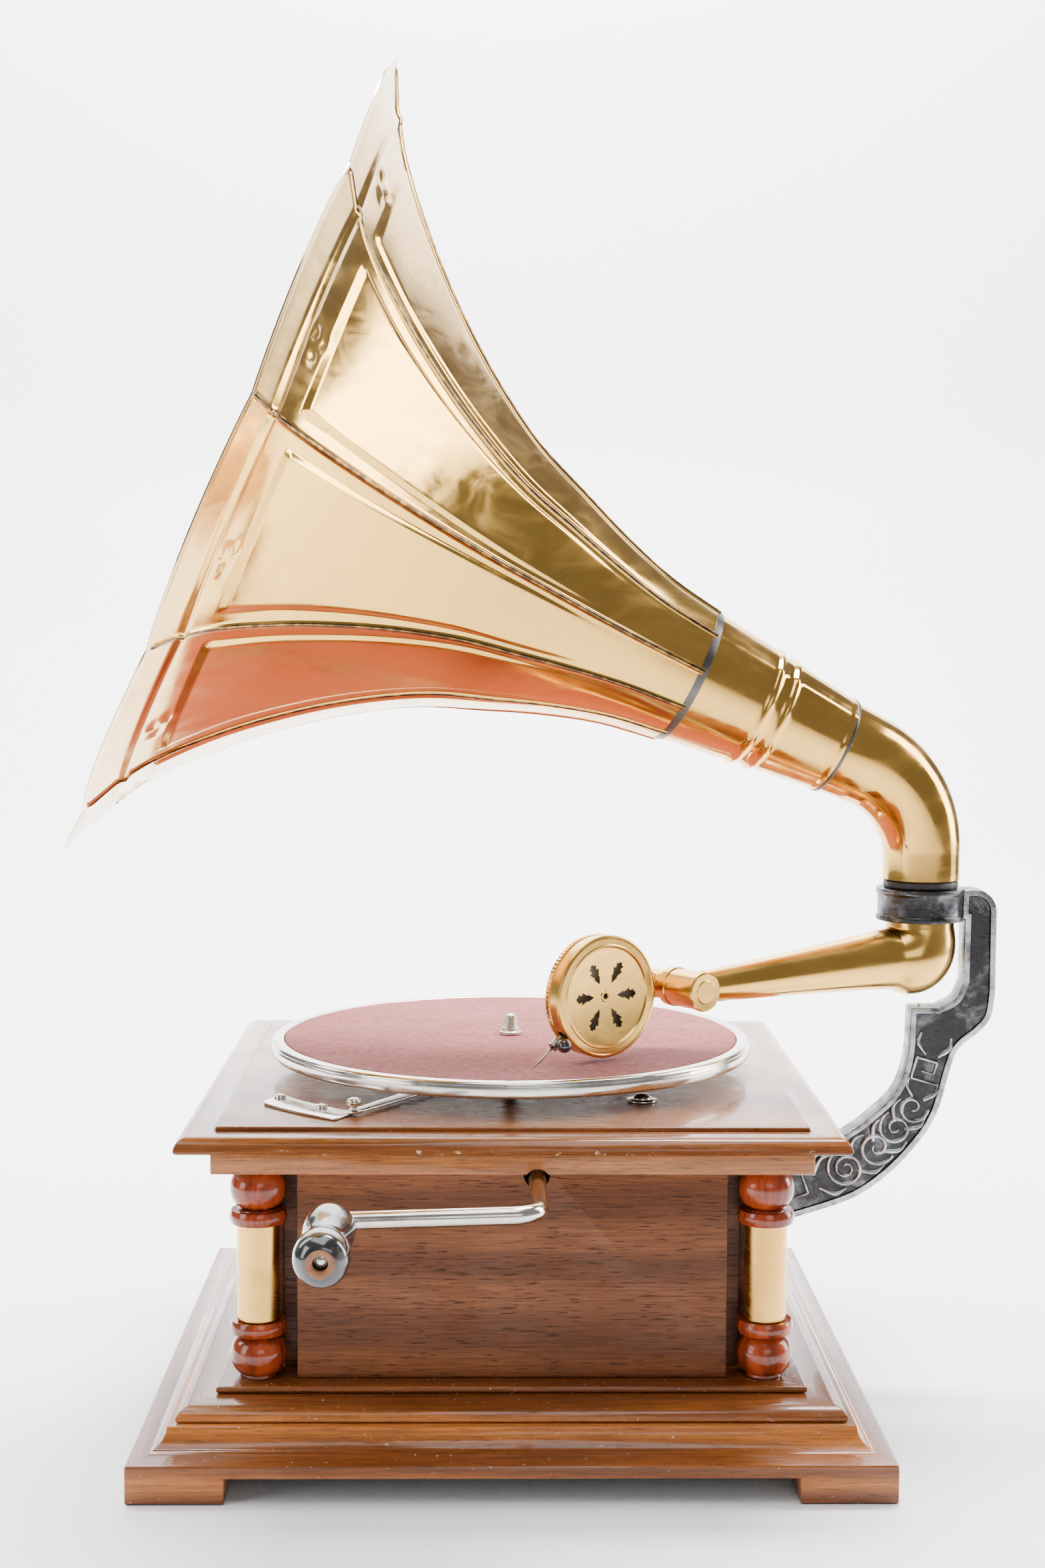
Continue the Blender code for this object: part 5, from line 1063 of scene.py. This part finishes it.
class PHONOGRAPH_OT_crank(bpy.types.Operator):
    """Bends the crank and turns its lacquered handle"""

    bl_idname = "phonograph.crank"
    bl_label = "Crank"

    def execute(self, context):
        axis = joint_place("crank_turn")
        end = joint_place("handle_spin")
        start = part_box("winding_shaft")[0].y - 0.0003
        out = Vector((0, -1, 0))
        along = (end - axis).normalized()
        radius, curve, pin = 0.0041, 0.012, 0.0030
        stations = [(Vector((axis.x, start, axis.z)), out, radius), (axis - (curve + 0.03) * out, out, radius)]
        stations += bend(axis, out, along, curve, radius)
        turn = radius + 0.001
        stations.append((end - (turn + 0.02) * along, along, radius))
        stations += bend(end, along, out, turn, radius)
        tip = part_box("crank_arm")[0].y
        stations += [(end + (turn + 0.0006) * out, out, radius * 0.98), (end + (turn + 0.001) * out, out, pin),
                     (Vector((end.x, tip + 0.0004, end.z)), out, pin), (Vector((end.x, tip, end.z)), out, pin * 0.8)]
        arm = sweep(stations, UP, 36, True)
        publish("crank_arm_fine", arm, ["nickel_plate"], "crank", ["crank_arm"])

        low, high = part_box("crank_handle")
        thick = half_width("crank_handle")
        length = high.y - low.y
        shape = smoothed(((0.56, 0.0), (0.80, 0.02), (0.94, 0.09), (0.955, 0.16), (0.90, 0.26), (0.76, 0.38),
                          (0.69, 0.47), (0.72, 0.57), (0.88, 0.67), (0.985, 0.77), (0.99, 0.85), (0.90, 0.93),
                          (0.66, 0.985), (0.50, 1.0)), 4)
        profile = [(pin + 0.0003, 0.0)] + [(thick * p[0], length * p[1]) for p in shape]
        profile += [(pin + 0.0012, length), (pin + 0.0004, length - 0.0006), (pin + 0.0003, length - 0.003)]
        handle = lathe(profile, 56, True, (end.x, high.y, end.z), out)
        for face in handle.faces:
            spot = face.calc_center_median()
            reach = Vector((spot.x - end.x, spot.z - end.z)).length
            if reach < pin + 0.0022 and spot.y < low.y + 0.006:
                face.material_index = 1
        publish("crank_handle_fine", handle, ["black_lacquer", "bare_handle_wood"], "handle", ["crank_handle"],
                40)
        return {"FINISHED"}


BRACKET_LOWER = ((0.1338, 0.0825), (0.1555, 0.0886), (0.1839, 0.0984), (0.2026, 0.1115), (0.2180, 0.1281),
                 (0.2281, 0.1447), (0.2355, 0.1710), (0.2402, 0.1803), (0.2500, 0.1885), (0.2560, 0.1965),
                 (0.2580, 0.2090))
BRACKET_INSIDE = ((0.2408, 0.2150), (0.2365, 0.2060), (0.2275, 0.2012))
BRACKET_UPPER = ((0.2130, 0.2012), (0.2118, 0.1750), (0.2055, 0.1562), (0.1925, 0.1429), (0.1799, 0.1335),
                 (0.1580, 0.1215), (0.1338, 0.1130))


class PHONOGRAPH_OT_bracket(bpy.types.Operator):
    """Models the cast bracket with its ring and scrollwork, its screw and the gasket"""

    bl_idname = "phonograph.bracket"
    bl_label = "Bracket"

    def execute(self, context):
        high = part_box("horn_bracket")[1]
        pivot = joint_place("horn_swivel")
        top = high.z - 0.0004
        lower = smoothed(BRACKET_LOWER, 5)
        crown = []
        for angle in quarter(9):
            crown.append((0.2462 + 0.0118 * math.cos(angle), top - 0.0118 + 0.0118 * math.sin(angle)))
        inside = [(0.2412, high.z - 0.0163)] + [tuple(p) for p in smoothed(BRACKET_INSIDE, 5)]
        upper = smoothed(BRACKET_UPPER, 5)
        neck = 0.2398
        outline = [tuple(p) for p in lower] + crown + [(neck, top), (neck, high.z - 0.0163)] + inside
        outline += [tuple(p) for p in upper]
        matrix = Matrix.Translation(CENTRE + Vector((0, 0.008, 0))) @ Matrix.Rotation(math.pi / 2, 4, "X")
        bm = bmesh.new()
        bm.faces.new([bm.verts.new((x, y, 0)) for x, y in outline])
        thicken(bm, 0.016)
        sides = [one for one in bm.faces if abs(one.normal.z) > 0.9]
        rims = [edge for edge in bm.edges if any(one in sides for one in edge.link_faces)]
        # The bevelled edges take the second finish, the painted-highlight metal.
        bevel(bm, rims, 0.0010, 3, 1)
        sides = [one for one in bm.faces if abs(one.normal.z) > 0.99 and one.calc_area() > 0.002]
        for one in sides:
            bmesh.ops.inset_region(bm, faces=[one], thickness=0.0024, depth=0, use_even_offset=True)
            bmesh.ops.inset_region(bm, faces=[one], thickness=0.0006, depth=-0.0012, use_even_offset=True)
        # The raised borders round the sunk panels also take the painted-highlight metal.
        for one in bm.faces:
            if one.material_index == 0 and one not in sides and abs(one.normal.z) > 0.9:
                one.material_index = 1
        bmesh.ops.transform(bm, matrix=matrix, verts=bm.verts)
        radius, bore = 0.0234, 0.0188
        ring = rounded([(bore, high.z - 0.017), (radius, high.z - 0.017), (radius, high.z - 0.0145),
                        (radius - 0.0008, high.z - 0.0138), (radius - 0.0008, high.z - 0.0032),
                        (radius, high.z - 0.0025), (radius, high.z), (bore, high.z)], 0.0006)
        add(bm, lathe(ring, 96, True, (pivot.x, pivot.y, 0)))
        publish("horn_bracket_fine", bm, ["dark_casting", "rubbed_casting"], "case", ["horn_bracket"],
                40)
        self.scrollwork()
        smooth_copy("pivot_screw", "machined_steel", "case")
        low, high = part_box("horn_gasket")
        radius = half_width("horn_gasket")
        gasket = rounded([(0.0165, low.z), (radius, low.z), (radius, high.z), (0.0165, high.z)], 0.0010, 4)
        publish("horn_gasket_fine", lathe(gasket, 72, True, (pivot.x, pivot.y, 0)), ["black_rubber"], "case",
                ["horn_gasket"])
        return {"FINISHED"}

    def scrollwork(self):
        """Lays half-round scrolls, keys and leaves along both sides of the bracket."""
        height = sizes().relief
        spine = []
        lower = smoothed(BRACKET_LOWER, 8)
        upper = smoothed(BRACKET_UPPER[::-1], 8)
        count = 60
        for index in range(count + 1):
            share = index / count
            a = lower[int(share * 0.77 * (len(lower) - 1))]
            b = upper[int(share * (len(upper) - 1))]
            spine.append((a.lerp(b, 0.5), (b - a).length / 2))
        bm = bmesh.new()
        for side in (-1, 1):
            self.keys(bm, spine, side, height)
            self.scrolls(bm, spine, side, height)
        # The scrollwork is all in the painted-highlight metal.
        publish("bracket_scrollwork", bm, ["rubbed_casting"], "case", smooth=50)

    def wire(self, bm, points, side, thick, height):
        """Sweeps a flattened wire over a side of the bracket."""
        y = side * 0.0070
        places = [CENTRE + Vector((p[0], y, p[1])) for p in points]
        ways = []
        for index in range(len(places)):
            before = places[max(0, index - 1)]
            after = places[min(len(places) - 1, index + 1)]
            ways.append((after - before).normalized())
        stations = []
        for index, (place, way) in enumerate(zip(places, ways)):
            share = index / (len(places) - 1)
            stations.append((place, way, thick * (0.55 + 0.45 * math.sin(math.pi * min(1, 0.15 + share)))))
        made = sweep(stations, (0, 1, 0), 8, True)
        for vert in made.verts:
            vert.co.y = CENTRE.y + y + (vert.co.y - CENTRE.y - y) * height / thick
        add(bm, made)

    def keys(self, bm, spine, side, height):
        """A key pattern near the case and along the upright."""
        for start in (2, 7, 46):
            centre, half = spine[start]
            after, _ = spine[start + 3]
            way = (after - centre).normalized()
            aside = Vector((-way.y, way.x))
            unit = half * 0.26
            steps = ((-1.6, -2.2), (-1.6, 2.2), (1.9, 2.2), (1.9, -1.2), (-0.1, -1.2), (-0.1, 0.8))
            corners = [centre + way * unit * a + aside * unit * b for a, b in steps]
            self.wire(bm, rounded([tuple(p) for p in corners], 0.0006), side, 0.0010, height)

    def scrolls(self, bm, spine, side, height):
        """Spiral scrolls and leaves that follow the bend."""
        for start, turns, hand in ((17, 2.1, 1), (25, 1.5, -1), (32, 1.6, 1), (38, 1.3, -1)):
            centre, half = spine[start]
            after, _ = spine[start + 2]
            base = math.atan2(after.y - centre.y, after.x - centre.x)
            reach = half * 0.66
            points = []
            for index in range(int(26 * turns)):
                share = index / (26 * turns - 1)
                angle = base + hand * (math.tau * turns * share + 1.2)
                points.append(centre + Vector((math.cos(angle), math.sin(angle))) * reach * (1 - 0.86 * share))
            self.wire(bm, points, side, 0.0013, height)
        for start in (13, 21, 28, 35, 42, 53):
            centre, half = spine[start]
            after, _ = spine[start + 2]
            way = (after - centre).normalized()
            aside = Vector((-way.y, way.x))
            for hand in (-1, 1):
                tip = centre + way * half * 0.5 + aside * hand * half * 0.62
                root = centre - way * half * 0.35 + aside * hand * half * 0.25
                bow = (tip + root) / 2 + aside * hand * half * 0.22
                self.wire(bm, smoothed((root, bow, tip), 6), side, 0.0014, height)


HORN_RISE = math.radians(25)
HORN_TURN = math.radians(7.5)
BELL_PROFILE = ((0.0, 0.0365), (0.031, 0.0415), (0.062, 0.0508), (0.092, 0.0622), (0.122, 0.0740),
                (0.152, 0.0918), (0.182, 0.1142), (0.212, 0.1415), (0.240, 0.1735), (0.2575, 0.2078))
PETALS = 11
PETAL_START = math.radians(21.8)
PETAL_SCALLOP = 0.0131
PETAL_REACH = 0.0021
RIM_TILT = 0.0085
SHEET_GAP = 0.0003
NECK_LENGTH = 0.0886
ELBOW_FOOT, ELBOW_CURVE, ELBOW_HEAD = 0.014, 0.0548, 0.0187
SOUNDBOX_REACH = 0.0489
SOUNDBOX_RADIUS, SOUNDBOX_FACE, SOUNDBOX_DEPTH = 0.0308, -0.0048, 0.0122
TONEARM_HINGE_HEIGHT = 0.2443
TIP_SHORT = 0.0092


def horn_ways():
    """The way the horn lies on the level, and its axis."""
    flat = Vector((-math.cos(HORN_TURN), -math.sin(HORN_TURN), 0))
    return flat, math.cos(HORN_RISE) * flat + math.sin(HORN_RISE) * UP


def elbow_line():
    """The elbow's stations, from its foot in the gasket to the neck."""
    pivot = joint_place("horn_swivel")
    flat, axis = horn_ways()
    foot = Vector((pivot.x, pivot.y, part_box("horn_elbow")[0].z))
    places = [(foot, UP, 0.0), (foot + ELBOW_FOOT * UP, UP, ELBOW_FOOT)]
    centre = foot + ELBOW_FOOT * UP + ELBOW_CURVE * flat
    turn = math.pi / 2 - HORN_RISE
    for index in range(1, 25):
        angle = turn * index / 24
        spoke = -math.cos(angle) * flat + math.sin(angle) * UP
        places.append((centre + ELBOW_CURVE * spoke, math.sin(angle) * flat + math.cos(angle) * UP,
                       ELBOW_FOOT + ELBOW_CURVE * angle))
    end = places[-1][0] + ELBOW_HEAD * axis
    places.append((end, axis, places[-1][2] + ELBOW_HEAD))
    return places, end


class PHONOGRAPH_OT_horn(bpy.types.Operator):
    """Models the horn's elbow, its seamed neck and the bell of eleven pressed petals"""

    bl_idname = "phonograph.horn"
    bl_label = "Horn"

    def execute(self, context):
        flat, axis = horn_ways()
        side = flat.cross(UP)
        places, end = elbow_line()
        total = places[-1][2]
        stations = []
        for place, way, length in places:
            share = max(0.0, length - ELBOW_FOOT) / (total - ELBOW_FOOT)
            stations.append((place, way, 0.0205 + 0.0052 * share - 0.0001))
        foot = stations[0]
        lip = [(foot[0], UP, 0.0198), (foot[0] + 0.0004 * UP, UP, 0.0204)]
        last = stations[-1]
        stations = lip + stations[1:-1] + [(last[0] - 0.0012 * axis, axis, 0.0256), (last[0], axis, 0.0254)]
        publish("horn_elbow_fine", shell(sweep(stations, side, 64), 0.0007), ["horn_brass"], "horn",
                ["horn_elbow"], 40)
        self.neck(end, axis, side)
        self.bell(end + (NECK_LENGTH + SHEET_GAP) * axis, axis)
        return {"FINISHED"}

    def neck(self, end, axis, side):
        """The neck, with its two beads and lengthwise seam."""
        stations = []
        count = 90
        length = NECK_LENGTH - SHEET_GAP
        for index in range(count + 1):
            along = SHEET_GAP + (length - SHEET_GAP) * index / count
            radius = 0.0257 + 0.0108 * along / NECK_LENGTH
            for bead in (0.0387, 0.0487):
                radius += 0.0013 * math.exp(-((along - bead) / 0.0017) ** 2)
            radius -= 0.0003 * math.exp(-((along - 0.0437) / 0.003) ** 2)
            if along < 0.0035:
                radius += 0.0004
            stations.append((end + along * axis, axis, radius))
        bm = sweep(stations, side, 96)
        up = (UP - UP.dot(axis) * axis).normalized()
        other = axis.cross(up)
        for vert in bm.verts:
            spoke = vert.co - end
            spoke -= spoke.dot(axis) * axis
            angle = math.atan2(spoke.dot(other), spoke.dot(up))
            reach = spoke.length * (angle - math.radians(-52))
            vert.co += spoke.normalized() * 0.0006 * math.exp(-(reach / 0.0022) ** 2)
        publish("horn_neck_fine", shell(bm, 0.0007), ["horn_brass"], "horn", ["horn_neck"], 40)
        joint = [(0.0360, -0.0024), (0.0367, -0.0021), (0.0373, 0.0000), (0.0376, 0.0022), (0.0368, 0.0026)]
        publish("bell_solder", lathe(joint, 96, True, end + NECK_LENGTH * axis, axis), ["dark_solder"], "horn")
        joint = [(0.0256, -0.0008), (0.0264, -0.0006), (0.0267, 0.0002), (0.0265, 0.0010), (0.0258, 0.0012)]
        publish("elbow_solder", lathe(joint, 96, True, end, axis), ["dark_solder"], "horn")

    def bell(self, start, axis):
        """One pressed petal, spun from the rib's curve, and its ten copies."""
        fine = smoothed(BELL_PROFILE, 40)
        reached = [0.0]
        for one, other in zip(fine, fine[1:]):
            reached.append(reached[-1] + (other - one).length)
        total = reached[-1]
        curve, lengths, due = [], [], 0.0
        for point, length in zip(fine, reached):
            if length >= due - 1e-6 or length == total:
                curve.append(point)
                lengths.append(length)
                due = length + (0.0075 if length < 0.55 * total else 0.005 if length < 0.79 * total else 0.0017)
        bm = bmesh.new()
        columns = 52
        verts = [bm.verts.new((point.y, 0, point.x)) for point in curve]
        edges = [bm.edges.new(pair) for pair in zip(verts, verts[1:])]
        bmesh.ops.spin(bm, geom=verts + edges, cent=(0, 0, 0), axis=(0, 0, 1), angle=math.tau / PETALS,
                       steps=columns)
        uv = bm.loops.layers.uv.new("petal")
        marks = bm.verts.layers.float_vector.new("petal_place")
        knots = [point[0] for point in BELL_PROFILE]
        last = len(knots) - 1
        for vert in bm.verts:
            share = math.atan2(vert.co.y, vert.co.x) / (math.tau / PETALS)
            share -= 0.72 * math.sin(math.tau * share) / math.tau
            index = min(range(len(curve)), key=lambda i: abs(curve[i].x - vert.co.z))
            before, after = curve[max(0, index - 1)], curve[min(len(curve) - 1, index + 1)]
            slope = (after - before).normalized()
            along, radius = curve[index]
            number = last
            for low, high, count in zip(knots, knots[1:], range(last)):
                if low <= along < high:
                    number = count + (along - low) / (high - low)
            vert.co = self.pressed(share, number, along, radius, slope, lengths[index], total, last)
            rib = min(share, 1 - share) * radius * math.tau / PETALS
            vert[marks] = (rib, total - lengths[index], number / last)
        for face in bm.faces:
            for loop in face.loops:
                loop[uv].uv = loop.vert[marks].xy
        bmesh.ops.recalc_face_normals(bm, faces=bm.faces)
        petal = list(bm.verts) + list(bm.edges) + list(bm.faces)
        for number in range(1, PETALS):
            copy = bmesh.ops.duplicate(bm, geom=petal)["geom"]
            bmesh.ops.rotate(bm, cent=(0, 0, 0), matrix=Matrix.Rotation(math.tau * number / PETALS, 3, "Z"),
                             verts=points_of(copy))
        bmesh.ops.remove_doubles(bm, verts=bm.verts, dist=2e-5)
        for vert in bm.verts:
            angle = PETAL_START + math.atan2(vert.co.y, vert.co.x)
            vert.co.z += RIM_TILT * vert[marks].z ** 2 * math.cos(angle)
        bmesh.ops.recalc_face_normals(bm, faces=bm.faces)
        shell(bm, sizes().horn_sheet)
        upward = (UP - UP.dot(axis) * axis).normalized()
        forward = upward.cross(axis)
        first = math.cos(PETAL_START) * upward + math.sin(PETAL_START) * forward
        second = -math.sin(PETAL_START) * upward + math.cos(PETAL_START) * forward
        matrix = Matrix.Translation(start) @ Matrix((first, second, axis)).transposed().to_4x4()
        bmesh.ops.transform(bm, matrix=matrix, verts=bm.verts)
        publish("horn_bell_fine", bm, ["petal_brass"], "horn", ["horn_bell"], 60)

    def pressed(self, share, number, along, radius, slope, length, total, last):
        """A point of the petal: flat between its ribs, seamed at them and pressed with shapes."""
        flatness = min(1.0, number / 3) * 0.8
        chord = math.cos(math.pi / PETALS) / math.cos((share - 0.5) * math.tau / PETALS)
        bulge = max(0.0, (number - last + 2) / 2) ** 1.5 * 4 * share * (1 - share)
        reach = radius * (1 - flatness * (1 - chord)) + PETAL_SCALLOP * bulge
        height = along + PETAL_REACH * bulge
        width = radius * math.tau / PETALS
        rib = min(share, 1 - share) * width
        left = total - length
        depth = sizes().emboss_depth
        relief = sizes().seam_height * math.exp(-(rib / 0.0011) ** 2)
        relief *= 1 - step(length, total - 0.006, total - 0.001)
        border = 0.0045 + 0.0048 * step(length, 0.25 * total, 0.85 * total)
        inset = step(rib - border, -0.0012, 0.0014) * step(left, 0.0455, 0.0480)
        relief += depth * inset * step(length, 0.12 * total, 0.45 * total)
        arch = left - 0.0265
        relief += depth * 0.75 * math.exp(-(arch / 0.0014) ** 2) - depth * 0.5 * step(-arch, 0.0, 0.005)
        for across, down in ((0.600, 0.0335), (0.595, 0.0415), (0.685, 0.0375)):
            away = math.hypot((share - across) * width, (left - down) * 0.8)
            relief += depth * 1.2 * math.exp(-(away / 0.0026) ** 2)
        relief += 0.0008 * step(-left, -0.0030, -0.0008)
        angle = share * math.tau / PETALS
        reach += relief * slope.x
        height -= relief * slope.y
        return Vector((reach * math.cos(angle), reach * math.sin(angle), height))


def step(value, low, high):
    """A smooth step from 0 to 1."""
    share = min(1.0, max(0.0, (value - low) / (high - low)))
    return share * share * (3 - 2 * share)


def head_ways():
    """The way the soundbox lies from the crossbar, and the way its face looks."""
    axis = Vector(JOINTS["soundbox_lift"]["axis"])
    out = -axis
    return Vector((out.y, -out.x, 0)), out


class PHONOGRAPH_OT_tonearm(bpy.types.Operator):
    """Models the tapered tonearm, its crossbar and the gooseneck"""

    bl_idname = "phonograph.tonearm"
    bl_label = "Tonearm"

    def execute(self, context):
        pivot = joint_place("horn_swivel")
        cross = joint_place("soundbox_lift")
        away = Vector((cross.x - pivot.x, cross.y - pivot.y, 0)).normalized()
        side = away.cross(UP)
        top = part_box("tonearm")[1].z
        first, heel, swell_radius, tip_radius = 0.018, 0.0163, 0.0205, 0.0076
        hinge = Vector((pivot.x, pivot.y, TONEARM_HINGE_HEIGHT)) + (first + 0.0005) * away
        start = Vector((pivot.x, pivot.y, top))
        stations = [(start, -UP, first - 0.0006), (start - 0.0006 * UP, -UP, first)]
        count = 20
        for index in range(count + 1):
            angle = math.pi / 2 * index / count
            plain = first + (heel - first) * index / count
            radius = plain + (swell_radius - plain) * math.sin(2 * angle)
            spoke = -math.cos(angle) * away - math.sin(angle) * UP
            way = math.sin(angle) * away - math.cos(angle) * UP
            stations.append((hinge + (radius + 0.0005) * spoke, way, radius))
        begin = stations[-1][0]
        way = (cross - begin).normalized()
        reach = (cross - begin).length
        for index in range(1, 25):
            share = index / 24
            if share * reach > reach - TIP_SHORT:
                break
            radius = heel + (tip_radius - heel) * share
            radius -= 0.0006 * math.sin(math.pi * share)
            stations.append((begin.lerp(cross, share), way, radius))
        end = begin + (reach - TIP_SHORT) * way
        stations.append((end, way, tip_radius + 0.0005))
        publish("tonearm_fine", shell(sweep(stations, side, 64), 0.0008), ["arm_brass"], "tonearm_body",
                ["tonearm"], 50)

        along, out = head_ways()
        half, radius = 0.0135, 0.0101
        bar = [(0, half), (radius * 0.55, half), (radius * 0.60, half - 0.0003), (radius - 0.0008, half - 0.0002),
               (radius - 0.0001, half - 0.0009), (radius - 0.0001, half - 0.0026), (radius - 0.0005, half - 0.0030),
               (radius - 0.0005, -half + 0.0052), (radius, -half + 0.0048), (radius, -half + 0.0006),
               (radius - 0.0006, -half), (radius - 0.0022, -half), (radius - 0.0022, half - 0.002), (0, half - 0.002)]
        publish("crossbar_fine", lathe(bar, 72, False, cross, out), ["arm_brass"], "tonearm_body", ["crossbar"],
                30)

        thick, curve = 0.0074, 0.0085
        begin = cross - (half + 0.0003) * out
        depth = curve + 0.0045
        corner = begin - depth * out
        turn = corner + SOUNDBOX_REACH * along
        finish_place = cross + SOUNDBOX_REACH * along + (SOUNDBOX_FACE - SOUNDBOX_DEPTH - SHEET_GAP) * out
        stations = [(begin, -out, thick + 0.0008), (begin - 0.0022 * out, -out, thick + 0.0008),
                    (begin - 0.0024 * out, -out, thick)]
        stations += bend(corner, -out, along, curve, thick, 14)
        stations += bend(turn, along, out, curve, thick, 14)
        stations += [(finish_place - 0.0005 * out, out, thick), (finish_place, out, thick)]
        publish("gooseneck_fine", shell(sweep(stations, UP, 48), 0.0008), ["arm_brass"], "soundbox", ["gooseneck"],
                40)
        return {"FINISHED"}


class PHONOGRAPH_OT_soundbox(bpy.types.Operator):
    """Models the soundbox with its pierced cover, knurled back and diaphragm"""

    bl_idname = "phonograph.soundbox"
    bl_label = "Soundbox"

    def execute(self, context):
        along, out = head_ways()
        centre = joint_place("soundbox_lift") + SOUNDBOX_REACH * along
        radius, face = SOUNDBOX_RADIUS, SOUNDBOX_FACE
        back, wall = face - SOUNDBOX_DEPTH, 0.0022
        front = face - 0.0018 - 0.0003
        case = [(radius - wall, front), (radius - 0.0008, front), (radius - 0.0004, front - 0.0004),
                (radius - 0.0004, back + 0.0046), (radius - 0.0012, back + 0.0042), (radius - 0.0012, back + 0.0036),
                (radius - 0.0002, back + 0.0032), (radius - 0.0002, back + 0.0006), (radius - 0.0010, back),
                (0.0064, back), (0.0060, back + 0.0004), (0.0060, back + 0.0016), (radius - wall, back + 0.0016)]
        body = lathe(case, 180, True, centre, out)
        knurl = sizes().knurl_depth
        for vert in body.verts:
            spoke = vert.co - centre
            depth = spoke.dot(out)
            spoke -= depth * out
            if spoke.length > radius - 0.0005 and depth < back + 0.0034:
                turn = math.atan2(spoke.dot(UP), spoke.dot(along))
                if round(turn / math.tau * 180) % 2:
                    vert.co -= spoke.normalized() * knurl
        down = math.radians(37)
        way = math.cos(down) * along - math.sin(down) * UP
        notch = lathe([(0, 0), (0.0032, 0), (0.0032, 0.01), (0, 0.01)], 24, False,
                      centre + (radius - 0.0045) * way + (face - 0.0052) * out, way)
        publish("soundbox_case_fine", carve(body, notch), ["soundbox_brass"], "soundbox", ["soundbox_case"],
                30)

        dish, sheet = 0.0245, 0.0007
        cover = [(radius - 0.0004, face - 0.0018), (radius, face - 0.0014), (radius, face - 0.0008),
                 (radius - 0.0003, face - 0.0003), (radius - 0.0009, face), (radius - 0.0016, face),
                 (radius - 0.0020, face - 0.0003), (dish + 0.0018, face - 0.0003), (dish + 0.0013, face),
                 (dish + 0.0007, face), (dish, face - 0.0009)]
        inner = [(dish * 0.85, face - 0.0013), (dish * 0.5, face - 0.0018), (dish * 0.2, face - 0.0021),
                 (0.0030, face - 0.0021), (0.0026, face - 0.0016), (0.0017, face - 0.0016), (0.0013, face - 0.0020),
                 (0.0013, face - 0.0028)]
        under = [(dish * 0.5, face - 0.0018 - sheet), (dish * 0.85, face - 0.0013 - sheet), (dish, face - 0.0018)]
        plate = lathe(cover + inner + under, 144, True, centre, out)
        half = [(0.0072, 0.0), (0.0088, 0.0008), (0.0107, 0.0017), (0.0115, 0.0021), (0.0113, 0.0013),
                (0.0130, 0.0021), (0.0146, 0.0030), (0.0153, 0.0032), (0.0150, 0.0020), (0.0160, 0.0017),
                (0.0172, 0.0024), (0.0178, 0.0022), (0.0176, 0.0012), (0.0188, 0.0009)]
        outline = half + [(u, -v) for u, v in half[:0:-1]]
        basis = Matrix((along, UP, out)).transposed().to_4x4()
        tools = bmesh.new()
        for number in range(6):
            matrix = (Matrix.Translation(centre) @ basis @ Matrix.Rotation(math.tau * number / 6, 4, "Z")
                      @ Matrix.Translation((0, 0, face - 0.005)))
            add(tools, outline_plate(outline, 0.008, matrix))
        publish("soundbox_cover_fine", carve(plate, tools), ["soundbox_brass"], "soundbox", ["soundbox_cover"],
                30)
        smooth_copy("diaphragm", "mica_sheet", "soundbox")
        smooth_copy("needle_bar", "machined_steel", "stylus")
        smooth_copy("needle", "machined_steel", "stylus")
        self.thumb_screw(out)
        return {"FINISHED"}

    def thumb_screw(self, out):
        """The ball-headed screw that holds the needle."""
        place = joint_place("needle_screw_turn")
        head = smoothed(((0.0012, 0.0034), (0.0023, 0.0040), (0.0033, 0.0052), (0.0036, 0.0064), (0.0033, 0.0080),
                         (0.0022, 0.0093), (0.0, 0.0099)), 4)
        profile = [(0, 0.00085), (0.0011, 0.00085), (0.0011, 0.0030)] + [(max(0, p[0]), p[1]) for p in head]
        publish("needle_screw_fine", lathe(profile, 40, False, place, out), ["black_lacquer"], "thumb_screw",
                ["needle_screw"])


class PHONOGRAPH_PT_panel(bpy.types.Panel):
    """Lists the phonograph's pieces and their sizes and colours"""

    bl_idname = "PHONOGRAPH_PT_panel"
    bl_label = "Phonograph"
    bl_space_type = "VIEW_3D"
    bl_region_type = "UI"
    bl_category = "Phonograph"

    def draw(self, context):
        layout = self.layout
        for operator in OPERATORS:
            layout.operator(operator.bl_idname)
        for group in (context.scene.phonograph_sizes, context.scene.phonograph_colours):
            box = layout.box()
            for name in group.__annotations__:
                box.prop(group, name)


OPERATORS = (PHONOGRAPH_OT_stage, PHONOGRAPH_OT_plinth, PHONOGRAPH_OT_case, PHONOGRAPH_OT_columns,
             PHONOGRAPH_OT_motor, PHONOGRAPH_OT_turntable, PHONOGRAPH_OT_brake, PHONOGRAPH_OT_crank,
             PHONOGRAPH_OT_bracket, PHONOGRAPH_OT_horn, PHONOGRAPH_OT_tonearm, PHONOGRAPH_OT_soundbox)
CLASSES = (PhonographSizes, PhonographColours, *OPERATORS, PHONOGRAPH_PT_panel)


def register():
    for one in CLASSES:
        bpy.utils.register_class(one)
    bpy.types.Scene.phonograph_sizes = PointerProperty(type=PhonographSizes)
    bpy.types.Scene.phonograph_colours = PointerProperty(type=PhonographColours)


def unregister():
    del bpy.types.Scene.phonograph_sizes
    del bpy.types.Scene.phonograph_colours
    for one in reversed(CLASSES):
        bpy.utils.unregister_class(one)


def main():
    register()
    for operator in OPERATORS:
        group, name = operator.bl_idname.split(".")
        getattr(getattr(bpy.ops, group), name)()


if __name__ == "__main__":
    main()
